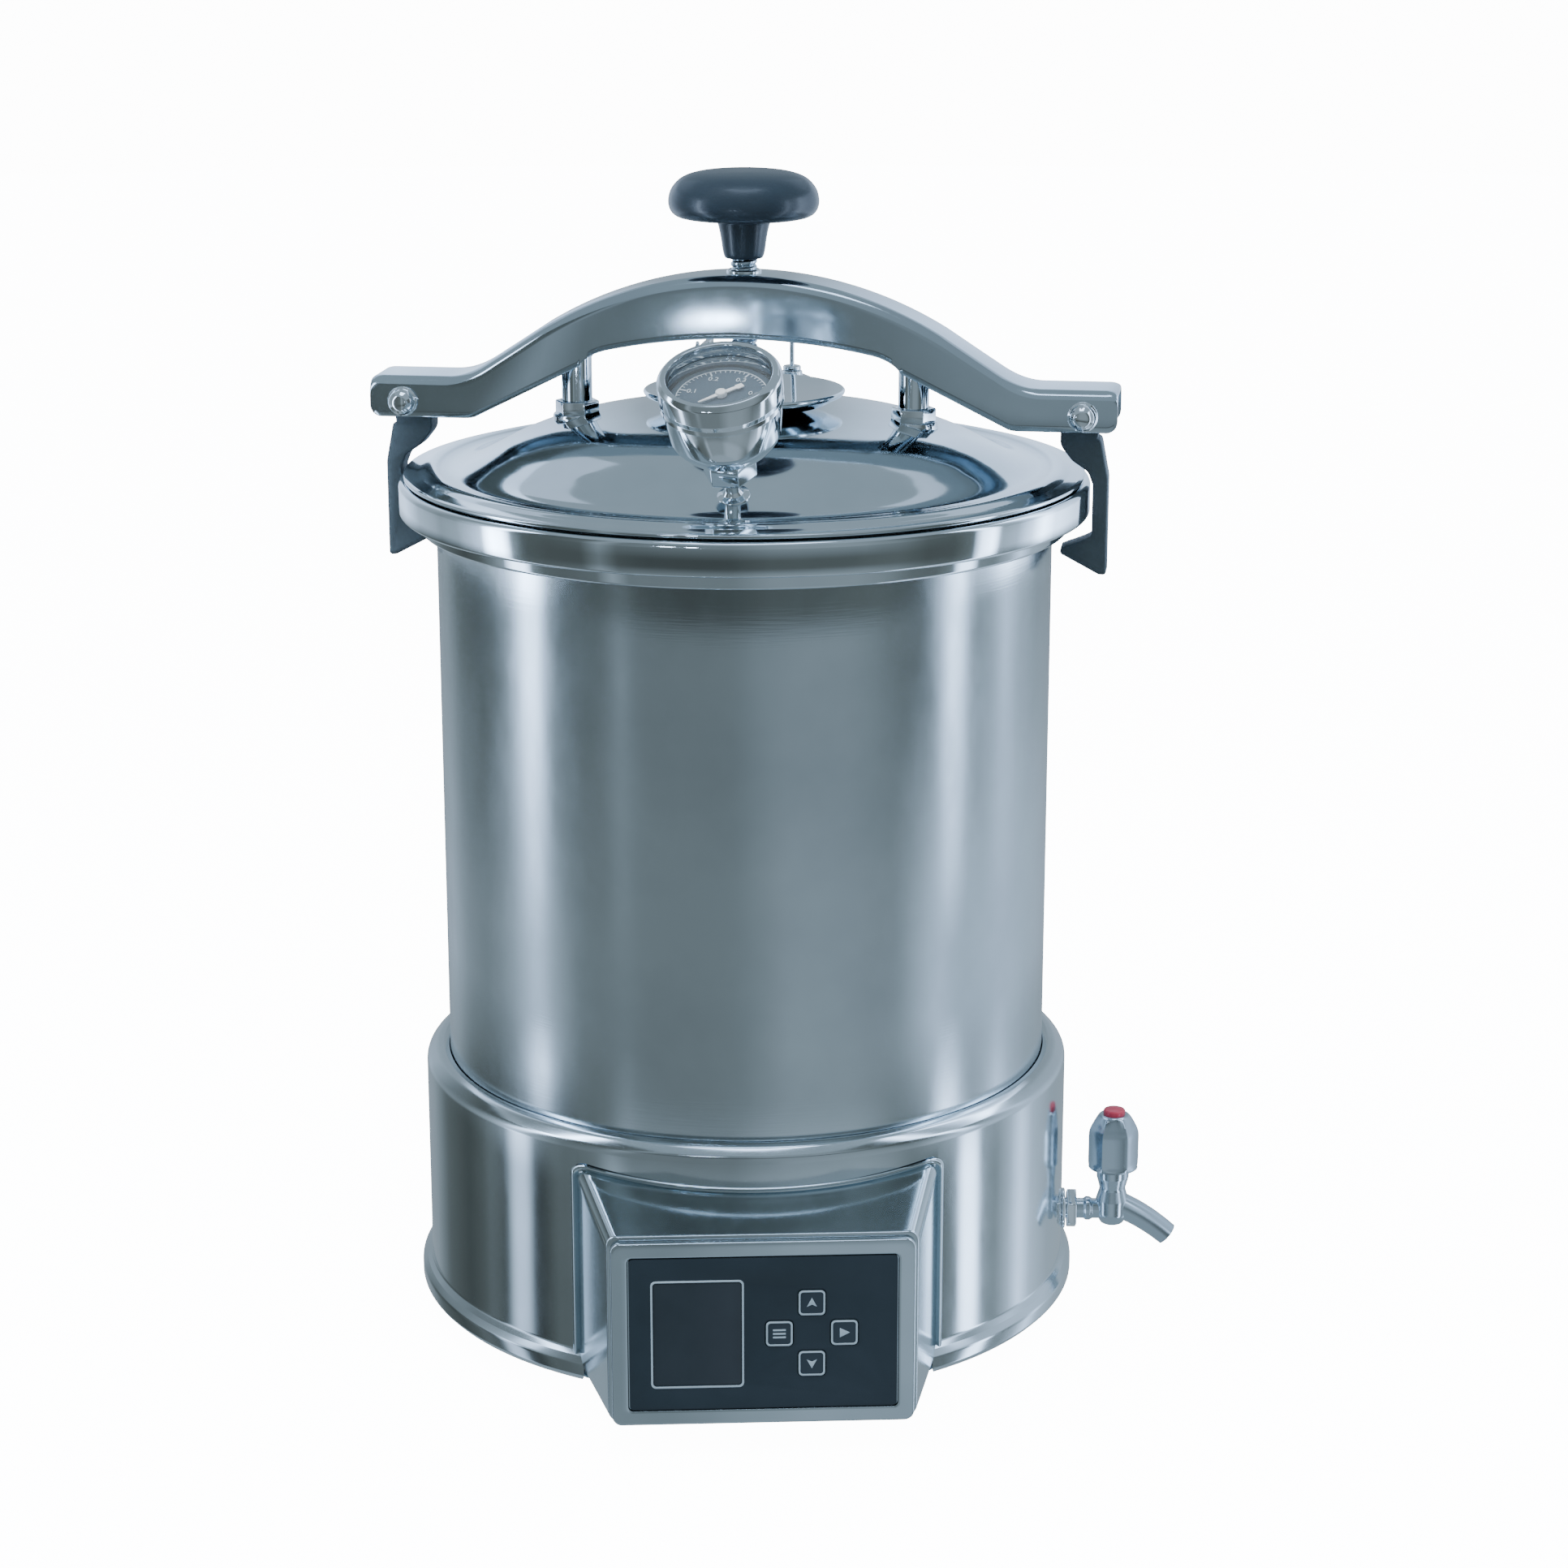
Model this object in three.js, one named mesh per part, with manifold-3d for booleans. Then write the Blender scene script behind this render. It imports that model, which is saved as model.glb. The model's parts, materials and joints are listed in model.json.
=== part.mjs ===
// Portable electric steam steriliser: a stainless pressure vessel on a heated base with a control
// panel, closed by a domed lid that a bridge, two swinging hooks and a hand screw clamp down.
// Millimetres, +Z up. The origin is on the vessel's axis, in the underside of the base plate.
// The control panel faces -Y and the drain tap points to +X.
import * as THREE from 'three';
import { mergeVertices } from 'three/addons/utils/BufferGeometryUtils.js';
import Module from 'manifold-3d';

const wasm = await Module();
wasm.setup();

// ---- driving dimensions ----
const GAP = 0.3;                 // clearance between pieces that touch
const LARGE = 36;                // segments round the vessel
const MEDIUM = 20;
const SMALL = 12;

const VESSEL_R = 142;            // vessel outside radius
const VESSEL_WALL = 2;
const FLOOR_Z = 40;              // underside of the vessel's floor
const RIM_R = 159;               // forged ring round the vessel's mouth
const RIM_TOP = 391.5;
const RIM_BOTTOM = 376;
const LIP_R = 150;               // lower, narrower step of the ring
const LIP_BOTTOM = 369;

const SHELL_R = 153.2;           // base shell outside radius
const SHELL_WALL = 1.5;
const SHELL_TOP = 118;
const BEAD_R = 157.6;            // rolled bead at the foot of the shell
const FLANGE_R = 138;            // inner edge of the flange that the shell turns inwards
const FOOT_RADIUS_AT = 110;
const FOOT_R = 6.6;
const PAN_R = 98;                // the middle of the base plate is pressed down inside the feet
const PAN_DEPTH = 0.5;
const FOOT_HEIGHT = 10;

const PANEL_Y = -190;            // front of the panel bezel
const PANEL_W = 133;
const PANEL_BOTTOM = 4;
const PANEL_TOP = 90;
const PANEL_MID_Z = (PANEL_BOTTOM + PANEL_TOP) / 2;
const HOOD_TAPER_X = 0.242;      // hood widening per millimetre towards the shell, each side
const HOOD_TAPER_Z = 0.207;      // rise of the hood's top per millimetre towards the shell
const MEMBRANE_W = 117;
const MEMBRANE_H = 71;
const DISPLAY = { x: -28.8, z: PANEL_MID_Z, w: 40, h: 50 };
const KEY = 12;
const KEYS = {
  key_up: [21.1, 61],
  key_down: [21.1, 32.4],
  key_left: [6.9, 46.7],
  key_right: [35.3, 46.7],
};

const TAP_TURN = -4.5;           // degrees of the tap's axis from +X
const TAP_Z = 29.3;
const TAP_NECK_R_AT = 178;

const LID_TURN = -10.8;          // degrees of the bridge and the lid's fittings from +X
const LID_R = 156.6;
const LID_WALL = 2;
const DISC_R = 46.5;             // press disc on top of the dome
const DISC_TOP = 430.7;

const PIN_X = 156;               // hook pivots
const PIN_Z = 424.2;
const PIN_R = 3.9;
const BRIDGE_W = 36;
const BRIDGE_WALL = 2.5;
const BRIDGE_END_X = 171.5;
const BRIDGE_END_TOP = 435.5;
const BRIDGE_END_BOTTOM = 416.8;
const ARCH_TOP = 484;
const ARCH_R = 178.7;
const POST_X = 78;
const POST_R = 7;
const POST_TOP = 450;
const HOOK_T = 14;
const SPINDLE_R = 6;
const KNOB_BOTTOM = 490.2;
const KNOB_TOP = 530;

const GAUGE_FOOT_R = 115;        // where the gauge's stem stands on the dome
const GAUGE_FOOT_TURN = 6.2;     // degrees of the foot from the lid's front, towards +X
const GAUGE_LEAN = 24.5;         // degrees of the dial's axis from upright
const GAUGE_LEAN_TURN = -4.4;    // degrees of the lean from the lid's front, towards +X

const SAFETY_VALVE = [13.4, 62.5];
const VENT_VALVE = [-28, 55];
const rad = THREE.MathUtils.degToRad;

// ---- making and joining solids ----
function closed(geometry) {
  const bare = geometry.clone();
  bare.deleteAttribute('normal');
  bare.deleteAttribute('uv');
  const merged = mergeVertices(bare, 1e-4);
  const place = merged.getAttribute('position');
  const kept = [];
  let volume = 0;
  const corner = [0, 1, 2].map(() => new THREE.Vector3());
  for (let i = 0; i < merged.index.count; i += 3) {
    const [a, b, c] = [0, 1, 2].map((k) => merged.index.getX(i + k));
    if (a === b || b === c || c === a) continue;
    kept.push([a, b, c]);
    [a, b, c].forEach((v, k) => corner[k].fromBufferAttribute(place, v));
    volume += corner[0].dot(corner[1].cross(corner[2]));
  }
  merged.setIndex(kept.flatMap(([a, b, c]) => (volume > 0 ? [a, b, c] : [a, c, b])));
  return merged;
}

function solid(geometry) {
  const whole = closed(geometry);
  return new wasm.Manifold(new wasm.Mesh({
    numProp: 3,
    vertProperties: new Float32Array(whole.getAttribute('position').array),
    triVerts: new Uint32Array(whole.index.array),
  }));
}

function geometryOf(manifold) {
  const mesh = manifold.getMesh();
  const geometry = new THREE.BufferGeometry();
  geometry.setAttribute('position', new THREE.BufferAttribute(mesh.vertProperties, 3));
  geometry.setIndex(new THREE.BufferAttribute(mesh.triVerts, 1));
  return geometry;
}

function cut(geometry, ...tools) {
  return geometryOf(tools.reduce((left, tool) => left.subtract(solid(tool)), solid(geometry)));
}

function join(geometry, ...others) {
  return geometryOf(others.reduce((sum, other) => sum.add(solid(other)), solid(geometry)));
}

// A solid of revolution about Z from [radius, height] pairs.
function turned(profile, segments = MEDIUM) {
  const points = [...profile, profile[0]].map(([r, z]) => new THREE.Vector2(r, z));
  return new THREE.LatheGeometry(points, segments).rotateX(Math.PI / 2);
}

function rod(radius, low, high, segments = SMALL) {
  return turned([[0, low], [radius, low], [radius, high], [0, high]], segments);
}

function box([x0, x1], [y0, y1], [z0, z1]) {
  return new THREE.BoxGeometry(x1 - x0, y1 - y0, z1 - z0)
    .translate((x0 + x1) / 2, (y0 + y1) / 2, (z0 + z1) / 2);
}

// A plate standing in the XZ plane, centred on y = 0.
function standingPlate(outline, thickness, curveSegments = 6) {
  return new THREE.ExtrudeGeometry(outline, { depth: thickness, bevelEnabled: false, curveSegments })
    .rotateX(Math.PI / 2)
    .translate(0, thickness / 2, 0);
}

// Lays a piece turned about Z down so that its +Z end points along -Y.
function facingFront(geometry) {
  return geometry.rotateX(Math.PI / 2);
}

// Lays a piece turned about Z down so that its +Z end points along +X.
function pointingOut(geometry) {
  return geometry.rotateY(Math.PI / 2);
}

const STEEL = { color: 0xa9b6bd, metalness: 1, roughness: 0.22 };
const DARK_STEEL = { color: 0x66727a, metalness: 1, roughness: 0.4 };
const CHROME = { color: 0xcfd6da, metalness: 1, roughness: 0.1 };
const RUBBER = { color: 0x1d1f21, metalness: 0, roughness: 0.85 };
const SILICONE = { color: 0xd8d8d2, metalness: 0, roughness: 0.6 };
const KNOB_PLASTIC = { color: 0x2c3a48, metalness: 0, roughness: 0.45 };
const PANEL_FILM = { color: 0x263340, metalness: 0, roughness: 0.35 };
const BOARD_GREEN = { color: 0x1e5b3a, metalness: 0, roughness: 0.5 };
const BLACK_PLASTIC = { color: 0x1b1d1f, metalness: 0, roughness: 0.5 };
const CLEAR = { color: 0xdfe9ee, metalness: 0, roughness: 0.05, transparent: true, opacity: 0.35 };
const RED_PLASTIC = { color: 0xb3202c, metalness: 0, roughness: 0.4 };
const WHITE_PAINT = { color: 0xe8eaea, metalness: 0, roughness: 0.5 };

function add(group, name, geometry, look) {
  const material = new THREE.MeshStandardMaterial({ ...look, flatShading: true });
  const mesh = new THREE.Mesh(closed(geometry), material);
  mesh.name = name;
  group.add(mesh);
  return mesh;
}

// ---- base: shell, plate, feet and control box ----
// The hood that carries the panel, as a solid tapering from the shell to the panel.
function hoodBlock(grow, frontY) {
  const backY = -110;
  const block = new THREE.BoxGeometry(1, 1, 1);
  const place = block.getAttribute('position');
  for (let i = 0; i < place.count; i += 1) {
    const y = place.getY(i) > 0 ? backY : frontY;
    const widening = HOOD_TAPER_X * (y - PANEL_Y);
    const rise = HOOD_TAPER_Z * (y - PANEL_Y);
    const half = PANEL_W / 2 + widening + grow;
    const top = PANEL_TOP + rise + grow;
    place.setXYZ(i, 2 * place.getX(i) * half, y, place.getZ(i) > 0 ? top : PANEL_BOTTOM - grow);
  }
  return block;
}

function baseShell() {
  const inner = SHELL_R - SHELL_WALL;
  const sheet = turned([
    [VESSEL_R + 0.5, SHELL_TOP], [147, SHELL_TOP], [151.5, SHELL_TOP - 1.8], [SHELL_R, SHELL_TOP - 6],
    [SHELL_R, 13.5], [155.2, 11.6], [BEAD_R, 8.6], [BEAD_R, 3.4], [155.2, 0.5], [152, 0], [FLANGE_R, 0],
    [FLANGE_R, 1.5], [151.6, 1.5], [154.4, 2.2], [156.1, 4.2], [156.1, 7.8], [154.2, 10.2], [inner, 12.8],
    [inner, SHELL_TOP - 6.4], [150.4, SHELL_TOP - 3.1], [146.7, SHELL_TOP - 1.5],
    [VESSEL_R + 0.5, SHELL_TOP - 1.5],
  ], LARGE);
  const doorway = hoodBlock(0.4, -215);
  const belowDoorway = box([-83, 83], [-215, -124], [-5, PANEL_BOTTOM + 1]);
  const pipeHole = pointingOut(rod(5.8, 140, 165)).translate(0, 0, TAP_Z).rotateZ(rad(TAP_TURN));
  const inletHole = box([-24.6, 24.6], [140, 165], [14.4, 38.1]);
  return cut(sheet, doorway, belowDoorway, pipeHole, inletHole);
}

function basePlate() {
  const rim = FLANGE_R + 9;
  return turned([
    [0, 0], [PAN_R, 0], [PAN_R + 1.5, PAN_DEPTH], [FLANGE_R - 0.8, PAN_DEPTH], [FLANGE_R - 0.8, 1.8],
    [rim, 1.8], [rim, 3], [FLANGE_R - 2, 3], [FLANGE_R - 2, 1.4], [PAN_R + 0.4, 1.4],
    [PAN_R - 1.1, 1.2], [0, 1.2],
  ], LARGE);
}

function addFeet(group) {
  for (let i = 0; i < 4; i += 1) {
    const foot = turned([
      [0, -FOOT_HEIGHT], [FOOT_R - 1.2, -FOOT_HEIGHT], [FOOT_R - 0.4, PAN_DEPTH - GAP], [0, PAN_DEPTH - GAP],
    ], SMALL);
    const angle = rad(45 + 90 * i);
    const mesh = add(group, `rubber_foot_${i + 1}`, foot, RUBBER);
    mesh.position.set(FOOT_RADIUS_AT * Math.cos(angle), FOOT_RADIUS_AT * Math.sin(angle), 0);
  }
}

function controlBox() {
  const wall = 1.5;
  const front = PANEL_Y + 5 + GAP;
  const around = rod(SHELL_R - 2.8, -20, 140, LARGE);
  return cut(hoodBlock(0, front), hoodBlock(-wall, front - 10), around);
}

function panelPlate(width, height, thickness, front, x = 0, z = PANEL_MID_Z) {
  return box([x - width / 2, x + width / 2], [front, front + thickness], [z - height / 2, z + height / 2]);
}

function panelBezel() {
  const depth = 5;
  const recess = panelPlate(MEMBRANE_W + 0.6, MEMBRANE_H + 0.6, 11.8, PANEL_Y - 10);
  const window = panelPlate(DISPLAY.w - 4, DISPLAY.h - 4, 20, PANEL_Y - 5, DISPLAY.x, DISPLAY.z);
  const stemHoles = Object.values(KEYS).map(([x, z]) => (
    facingFront(rod(3.1, 170, 200)).translate(x, 0, z)
  ));
  return cut(panelPlate(PANEL_W, PANEL_TOP - PANEL_BOTTOM, depth, PANEL_Y), recess, window, ...stemHoles);
}

function membranePanel() {
  const front = PANEL_Y + 0.4;
  const window = panelPlate(DISPLAY.w - 1.4, DISPLAY.h - 1.4, 9, PANEL_Y - 4, DISPLAY.x, DISPLAY.z);
  const keyHoles = Object.values(KEYS).map(([x, z]) => (
    panelPlate(KEY + 0.6, KEY + 0.6, 9, PANEL_Y - 4, x, z)
  ));
  return cut(panelPlate(MEMBRANE_W, MEMBRANE_H, 1.1, front), window, ...keyHoles);
}

// A key cap in the membrane with a stem that reaches its switch; it travels 0.5 mm.
function keyPiece([x, z]) {
  const cap = panelPlate(KEY, KEY, 1, PANEL_Y + 0.1, x, z);
  const stem = facingFront(rod(2.4, 182.4, 189.4, 8)).translate(x, 0, z);
  return join(cap, stem);
}

function circuitBoard() {
  const board = panelPlate(104, 66, 1.6, PANEL_Y + 12);
  const switches = Object.values(KEYS).map(([x, z]) => panelPlate(6, 6, 4, PANEL_Y + 8.4, x, z));
  return join(board, ...switches);
}

function powerInlet() {
  const flange = box([-26, 26], [SHELL_R + GAP, 156.5], [13.6, 38.9]);
  const housing = box([-24, 24], [130, 155], [15, 37.5]);
  const socket = box([-12, 12], [137, 160], [18, 34.5]);
  const pins = [[-7, 24.5], [0, 28.5], [7, 24.5]].map(([x, z]) => (
    box([x - 1, x + 1], [136, 148], [z - 2, z + 2])
  ));
  return join(cut(join(flange, housing), socket), ...pins);
}

function addBase(group) {
  add(group, 'base_shell', baseShell(), STEEL);
  add(group, 'base_plate', basePlate(), STEEL);
  addFeet(group);
  add(group, 'control_box', controlBox(), STEEL);
  add(group, 'panel_bezel', panelBezel(), STEEL);
  add(group, 'membrane_panel', membranePanel(), PANEL_FILM);
  const window = panelPlate(DISPLAY.w - 2, DISPLAY.h - 2, 1, PANEL_Y + 0.4, DISPLAY.x, DISPLAY.z);
  add(group, 'display_window', window, PANEL_FILM);
  const module = panelPlate(DISPLAY.w + 4, DISPLAY.h + 4, 6, PANEL_Y + 5 + GAP, DISPLAY.x, DISPLAY.z);
  add(group, 'display_module', module, BLACK_PLASTIC);
  add(group, 'circuit_board', circuitBoard(), BOARD_GREEN);
  for (const [name, place] of Object.entries(KEYS)) {
    add(group, name, keyPiece(place), PANEL_FILM);
  }
  add(group, 'power_inlet', powerInlet(), BLACK_PLASTIC);
  add(group, 'heater_relay', box([22, 80], [30, 75], [1.2 + GAP, 27]), BLACK_PLASTIC);
}

// ---- vessel and what it holds ----
const ELEMENT_R = 95;
const ELEMENT_TUBE = 4.5;
const ELEMENT_Z = 52;
const ELEMENT_LEG_ANGLE = rad(9);     // half the gap between the element's two legs
const PROBES = { temperature_probe: [42, -40, 66, 3], water_level_probe: [-45, 32, 60, 2.5] };
const DRAIN_R_AT = 118;

function elementLeg(side) {
  const angle = side * ELEMENT_LEG_ANGLE;
  return [ELEMENT_R * Math.cos(angle), ELEMENT_R * Math.sin(angle)];
}

function heatingElement() {
  const points = [];
  const [x0, y0] = elementLeg(1);
  points.push(new THREE.Vector3(x0, y0, 28), new THREE.Vector3(x0, y0, 44));
  const turns = 14;
  const start = ELEMENT_LEG_ANGLE + rad(9);
  for (let i = 0; i <= turns; i += 1) {
    const angle = start + ((2 * Math.PI - 2 * start) * i) / turns;
    points.push(new THREE.Vector3(ELEMENT_R * Math.cos(angle), ELEMENT_R * Math.sin(angle), ELEMENT_Z));
  }
  const [x1, y1] = elementLeg(-1);
  points.push(new THREE.Vector3(x1, y1, 44), new THREE.Vector3(x1, y1, 28));
  const section = new THREE.Shape().absarc(0, 0, ELEMENT_TUBE, 0, 2 * Math.PI);
  const path = new THREE.CatmullRomCurve3(points);
  return new THREE.ExtrudeGeometry(section, {
    steps: 44, extrudePath: path, curveSegments: 4, bevelEnabled: false,
  });
}

function vessel() {
  const inside = VESSEL_R - VESSEL_WALL;
  const top = RIM_TOP - 2;
  const shell = turned([
    [0, FLOOR_Z], [132, FLOOR_Z], [139, FLOOR_Z + 3], [VESSEL_R, FLOOR_Z + 10], [VESSEL_R, top],
    [inside, top], [inside, FLOOR_Z + 11], [137.6, FLOOR_Z + 5], [131, FLOOR_Z + 2], [0, FLOOR_Z + 2],
  ], LARGE);
  const holes = [1, -1].map((side) => {
    const [x, y] = elementLeg(side);
    return rod(ELEMENT_TUBE + 1.2, 30, 60).translate(x, y, 0);
  });
  for (const [x, y, , r] of Object.values(PROBES)) {
    holes.push(rod(r + GAP, 30, 60).translate(x, y, 0));
  }
  holes.push(rod(4, 30, 60).translate(DRAIN_R_AT, 0, 0).rotateZ(rad(TAP_TURN)));
  return cut(shell, ...holes);
}

function rimRing() {
  const inner = VESSEL_R + 0.4;
  const grooveIn = 145;
  const grooveOut = 151;
  const grooveZ = RIM_TOP - 3;
  return turned([
    [inner, LIP_BOTTOM], [LIP_R - 1.2, LIP_BOTTOM], [LIP_R, LIP_BOTTOM + 1.2], [LIP_R, RIM_BOTTOM],
    [RIM_R - 1.5, RIM_BOTTOM], [RIM_R, RIM_BOTTOM + 1.5], [RIM_R, RIM_TOP - 3.6], [RIM_R - 1.2, RIM_TOP - 1],
    [RIM_R - 3.6, RIM_TOP], [grooveOut, RIM_TOP], [grooveOut, grooveZ], [grooveIn, grooveZ],
    [grooveIn, RIM_TOP], [inner, RIM_TOP],
  ], LARGE);
}

function trivet() {
  const plate = rod(135, 72, 74, LARGE);
  const holes = [];
  for (const [count, radius, size] of [[1, 0, 12], [5, 50, 14], [10, 98, 14]]) {
    for (let i = 0; i < count; i += 1) {
      const angle = (2 * Math.PI * i) / count;
      holes.push(rod(size, 60, 80, 8).translate(radius * Math.cos(angle), radius * Math.sin(angle), 0));
    }
  }
  const legs = [0, 1, 2].map((i) => (
    rod(4, FLOOR_Z + 2 + GAP, 73, 8).translate(123, 0, 0).rotateZ(rad(120 * i + 60))
  ));
  return join(cut(plate, ...holes), ...legs);
}

function drainPipe() {
  const down = rod(5, TAP_Z, FLOOR_Z - GAP).translate(DRAIN_R_AT, 0, 0);
  const along = pointingOut(rod(5, DRAIN_R_AT - 5, 143)).translate(0, 0, TAP_Z);
  return join(down, along).rotateZ(rad(TAP_TURN));
}

function addVessel(group) {
  add(group, 'vessel', vessel(), STEEL);
  add(group, 'vessel_rim_ring', rimRing(), STEEL);
  const gasket = turned([
    [145.3, RIM_TOP - 2.7], [150.7, RIM_TOP - 2.7], [150.7, RIM_TOP + 0.3], [145.3, RIM_TOP + 0.3],
  ], LARGE);
  add(group, 'lid_gasket', gasket, SILICONE);
  add(group, 'heating_element', heatingElement(), DARK_STEEL);
  for (const [name, [x, y, top, r]] of Object.entries(PROBES)) {
    const probe = turned([
      [0, 26], [7, 26], [7, FLOOR_Z - GAP], [r, FLOOR_Z - GAP], [r, top - r], [r * 0.6, top], [0, top],
    ], SMALL);
    add(group, name, probe, STEEL).position.set(x, y, 0);
  }
  add(group, 'trivet', trivet(), STEEL);
  add(group, 'drain_pipe', drainPipe(), STEEL);
  const cutout = rod(9, 30, FLOOR_Z - GAP).translate(-30, -30, 0);
  add(group, 'overheat_cutout', cutout, BLACK_PLASTIC);
}

// ---- drain tap ----
function tapBody() {
  const inlet = pointingOut(rod(5, 143.4, TAP_NECK_R_AT)).translate(0, 0, TAP_Z);
  const neck = turned([
    [0, 22.5], [5.5, 22.5], [7.6, 26], [7.6, 35], [6.2, 40], [7.6, 46], [7.6, 50.6], [0, 50.6],
  ], 16).translate(TAP_NECK_R_AT, 0, 0);
  const spout = turned([[0, 0], [6.2, 0], [5, 14], [5, 26], [4.4, 27], [0, 27]], SMALL)
    .rotateY(rad(122)).translate(TAP_NECK_R_AT + 1, 0, TAP_Z + 2);
  const mouth = rod(3.4, 19, 40, SMALL).rotateY(rad(122)).translate(TAP_NECK_R_AT + 1, 0, TAP_Z + 2);
  return cut(join(inlet, neck, spout), mouth);
}

function tapHandle() {
  const blank = turned([
    [0, 51], [11.4, 51], [12.1, 54], [12.1, 69], [8, 77.5], [7, 78.6], [0, 78.6],
  ], 24);
  const flutes = [0, 1, 2, 3, 4, 5].map((i) => (
    rod(2.6, 45, 85, 8).translate(13.6, 0, 0).rotateZ(rad(60 * i + 30))
  ));
  return cut(blank, ...flutes);
}

function addTap(group) {
  const nut = cut(
    pointingOut(rod(10.2, SHELL_R + 0.4, 161, 6)),
    pointingOut(rod(5.3, 140, 170)),
  ).translate(0, 0, TAP_Z);
  const tap = new THREE.Group();
  tap.rotation.z = rad(TAP_TURN);
  add(tap, 'tap_nut', nut, CHROME);
  add(tap, 'tap_body', tapBody(), CHROME);
  add(tap, 'tap_handle', tapHandle(), CHROME).position.x = TAP_NECK_R_AT;
  const cap = turned([[0, 78.9], [5.2, 78.9], [5.2, 80.6], [3.6, 81.6], [0, 81.6]], SMALL);
  add(tap, 'tap_cap', cap, RED_PLASTIC).position.x = TAP_NECK_R_AT;
  group.add(tap);
}

// ---- lid and its fittings ----
const LID_OUTSIDE = [
  [0, 421.5], [40, 421.2], [60, 419.8], [80, 416.6], [94, 412.6], [106, 407.8], [116, 402.8], [124, 399],
  [130, 396.9], [135, 396], [139, 396.2], [142, 397], [146, 396.7], [150, 395], [LID_R - 1, 394.3],
  [LID_R, 393.6],
];

function lidOutsideAt(radius) {
  const next = LID_OUTSIDE.findIndex(([r]) => r >= radius);
  const [r0, z0] = LID_OUTSIDE[next - 1];
  const [r1, z1] = LID_OUTSIDE[next];
  return z0 + ((z1 - z0) * (radius - r0)) / (r1 - r0);
}

// Everything under the lid's outside, raised a little, to cut the feet of its fittings to shape.
function underLid() {
  const raised = LID_OUTSIDE.map(([r, z]) => [r, z + 0.35]);
  return turned([[0, 380], ...raised, [LID_R, 380]], LARGE);
}

function lid(gaugeHole) {
  const inside = LID_OUTSIDE.slice(1, 9).map(([r, z]) => [r - 0.4, z - LID_WALL]).reverse();
  const low = RIM_TOP + 0.7;
  const sheet = turned([
    ...LID_OUTSIDE, [LID_R, low], [143, low], [139, low + 1.4], [133, low + 1.6], ...inside,
    [0, LID_OUTSIDE[0][1] - LID_WALL],
  ], LARGE);
  const holes = [SAFETY_VALVE, VENT_VALVE].map(([x, y]) => rod(3, 380, 440).translate(x, y, 0));
  return cut(sheet, gaugeHole, ...holes);
}

function pressDisc() {
  return turned([
    [0, 421.9], [26, 421.9], [38, 424.4], [DISC_R - 1, 428.6], [DISC_R, 429.6], [DISC_R, DISC_TOP],
    [DISC_R - 1.5, DISC_TOP], [14, 429.2], [9, 430.9], [0, 430.9],
  ], 32);
}

function addPosts(group) {
  for (const [name, side] of [['left', -1], ['right', 1]]) {
    const post = cut(rod(POST_R, 405, POST_TOP, 16).translate(side * POST_X, 0, 0), underLid());
    add(group, `guide_post_${name}`, post, STEEL);
    const collar = cut(
      rod(10.4, 405, 424, 6).translate(side * POST_X, 0, 0),
      rod(POST_R + GAP, 400, 430, 16).translate(side * POST_X, 0, 0),
      underLid(),
    );
    add(group, `post_collar_${name}`, collar, CHROME);
  }
}

// The gauge's own frame: origin where its stem stands on the dome, +Z along the dial's axis.
function gaugeFrame() {
  const frame = new THREE.Group();
  const foot = rad(GAUGE_FOOT_TURN);
  const footX = GAUGE_FOOT_R * Math.sin(foot);
  const footY = -GAUGE_FOOT_R * Math.cos(foot);
  frame.position.set(footX, footY, lidOutsideAt(GAUGE_FOOT_R));
  frame.rotation.set(rad(GAUGE_LEAN), 0, rad(GAUGE_LEAN_TURN), 'ZXY');
  frame.updateMatrix();
  return frame;
}

function addGauge(group) {
  const gauge = gaugeFrame();
  const stem = turned([[0, -6], [3.6, -6], [3.6, 9.7], [0, 9.7]], SMALL);
  add(gauge, 'gauge_stem', stem, CHROME);
  const nut = turned([[0, 10], [10.2, 10], [12, 12], [12, 20], [10, 22], [0, 22]], 6);
  add(gauge, 'gauge_nut', nut, CHROME);
  const cup = turned([
    [0, 22.3], [12, 22.3], [17.8, 24.8], [22.8, 31], [24.8, 40], [25.2, 54], [23.4, 54], [23, 41],
    [21.2, 32.5], [16.8, 27.5], [0, 27.5],
  ]);
  add(gauge, 'gauge_case', cup, CHROME);
  add(gauge, 'gauge_dial', rod(22.4, 49.4, 50.4, MEDIUM), PANEL_FILM);
  add(gauge, 'gauge_glass', rod(25, 54.3, 56.3, MEDIUM), CLEAR);
  const ring = turned([
    [25.6, 47], [26.4, 47.6], [26.4, 60.3], [25.2, 61.8], [23, 61.8], [22.2, 60.4], [22.2, 56.6], [25.6, 56.6],
  ]);
  add(gauge, 'gauge_bezel', ring, CHROME);
  const pointer = new THREE.Shape([
    [-10.8, 0.9], [-10.8, -0.9], [0, -1.3], [10.8, -0.5], [10.8, 0.5], [0, 1.3],
  ].map(([x, y]) => new THREE.Vector2(x, y)));
  const hand = new THREE.ExtrudeGeometry(pointer, { depth: 0.8, bevelEnabled: false }).translate(0, 0, 51.4);
  const needle = add(gauge, 'gauge_needle', join(hand, rod(2.4, 50.8, 52.8)), WHITE_PAINT);
  needle.rotation.z = rad(41);
  group.add(gauge);
  return gauge;
}

function gaugeHole() {
  return rod(4.1, -25, 15).applyMatrix4(gaugeFrame().matrix);
}

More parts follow.
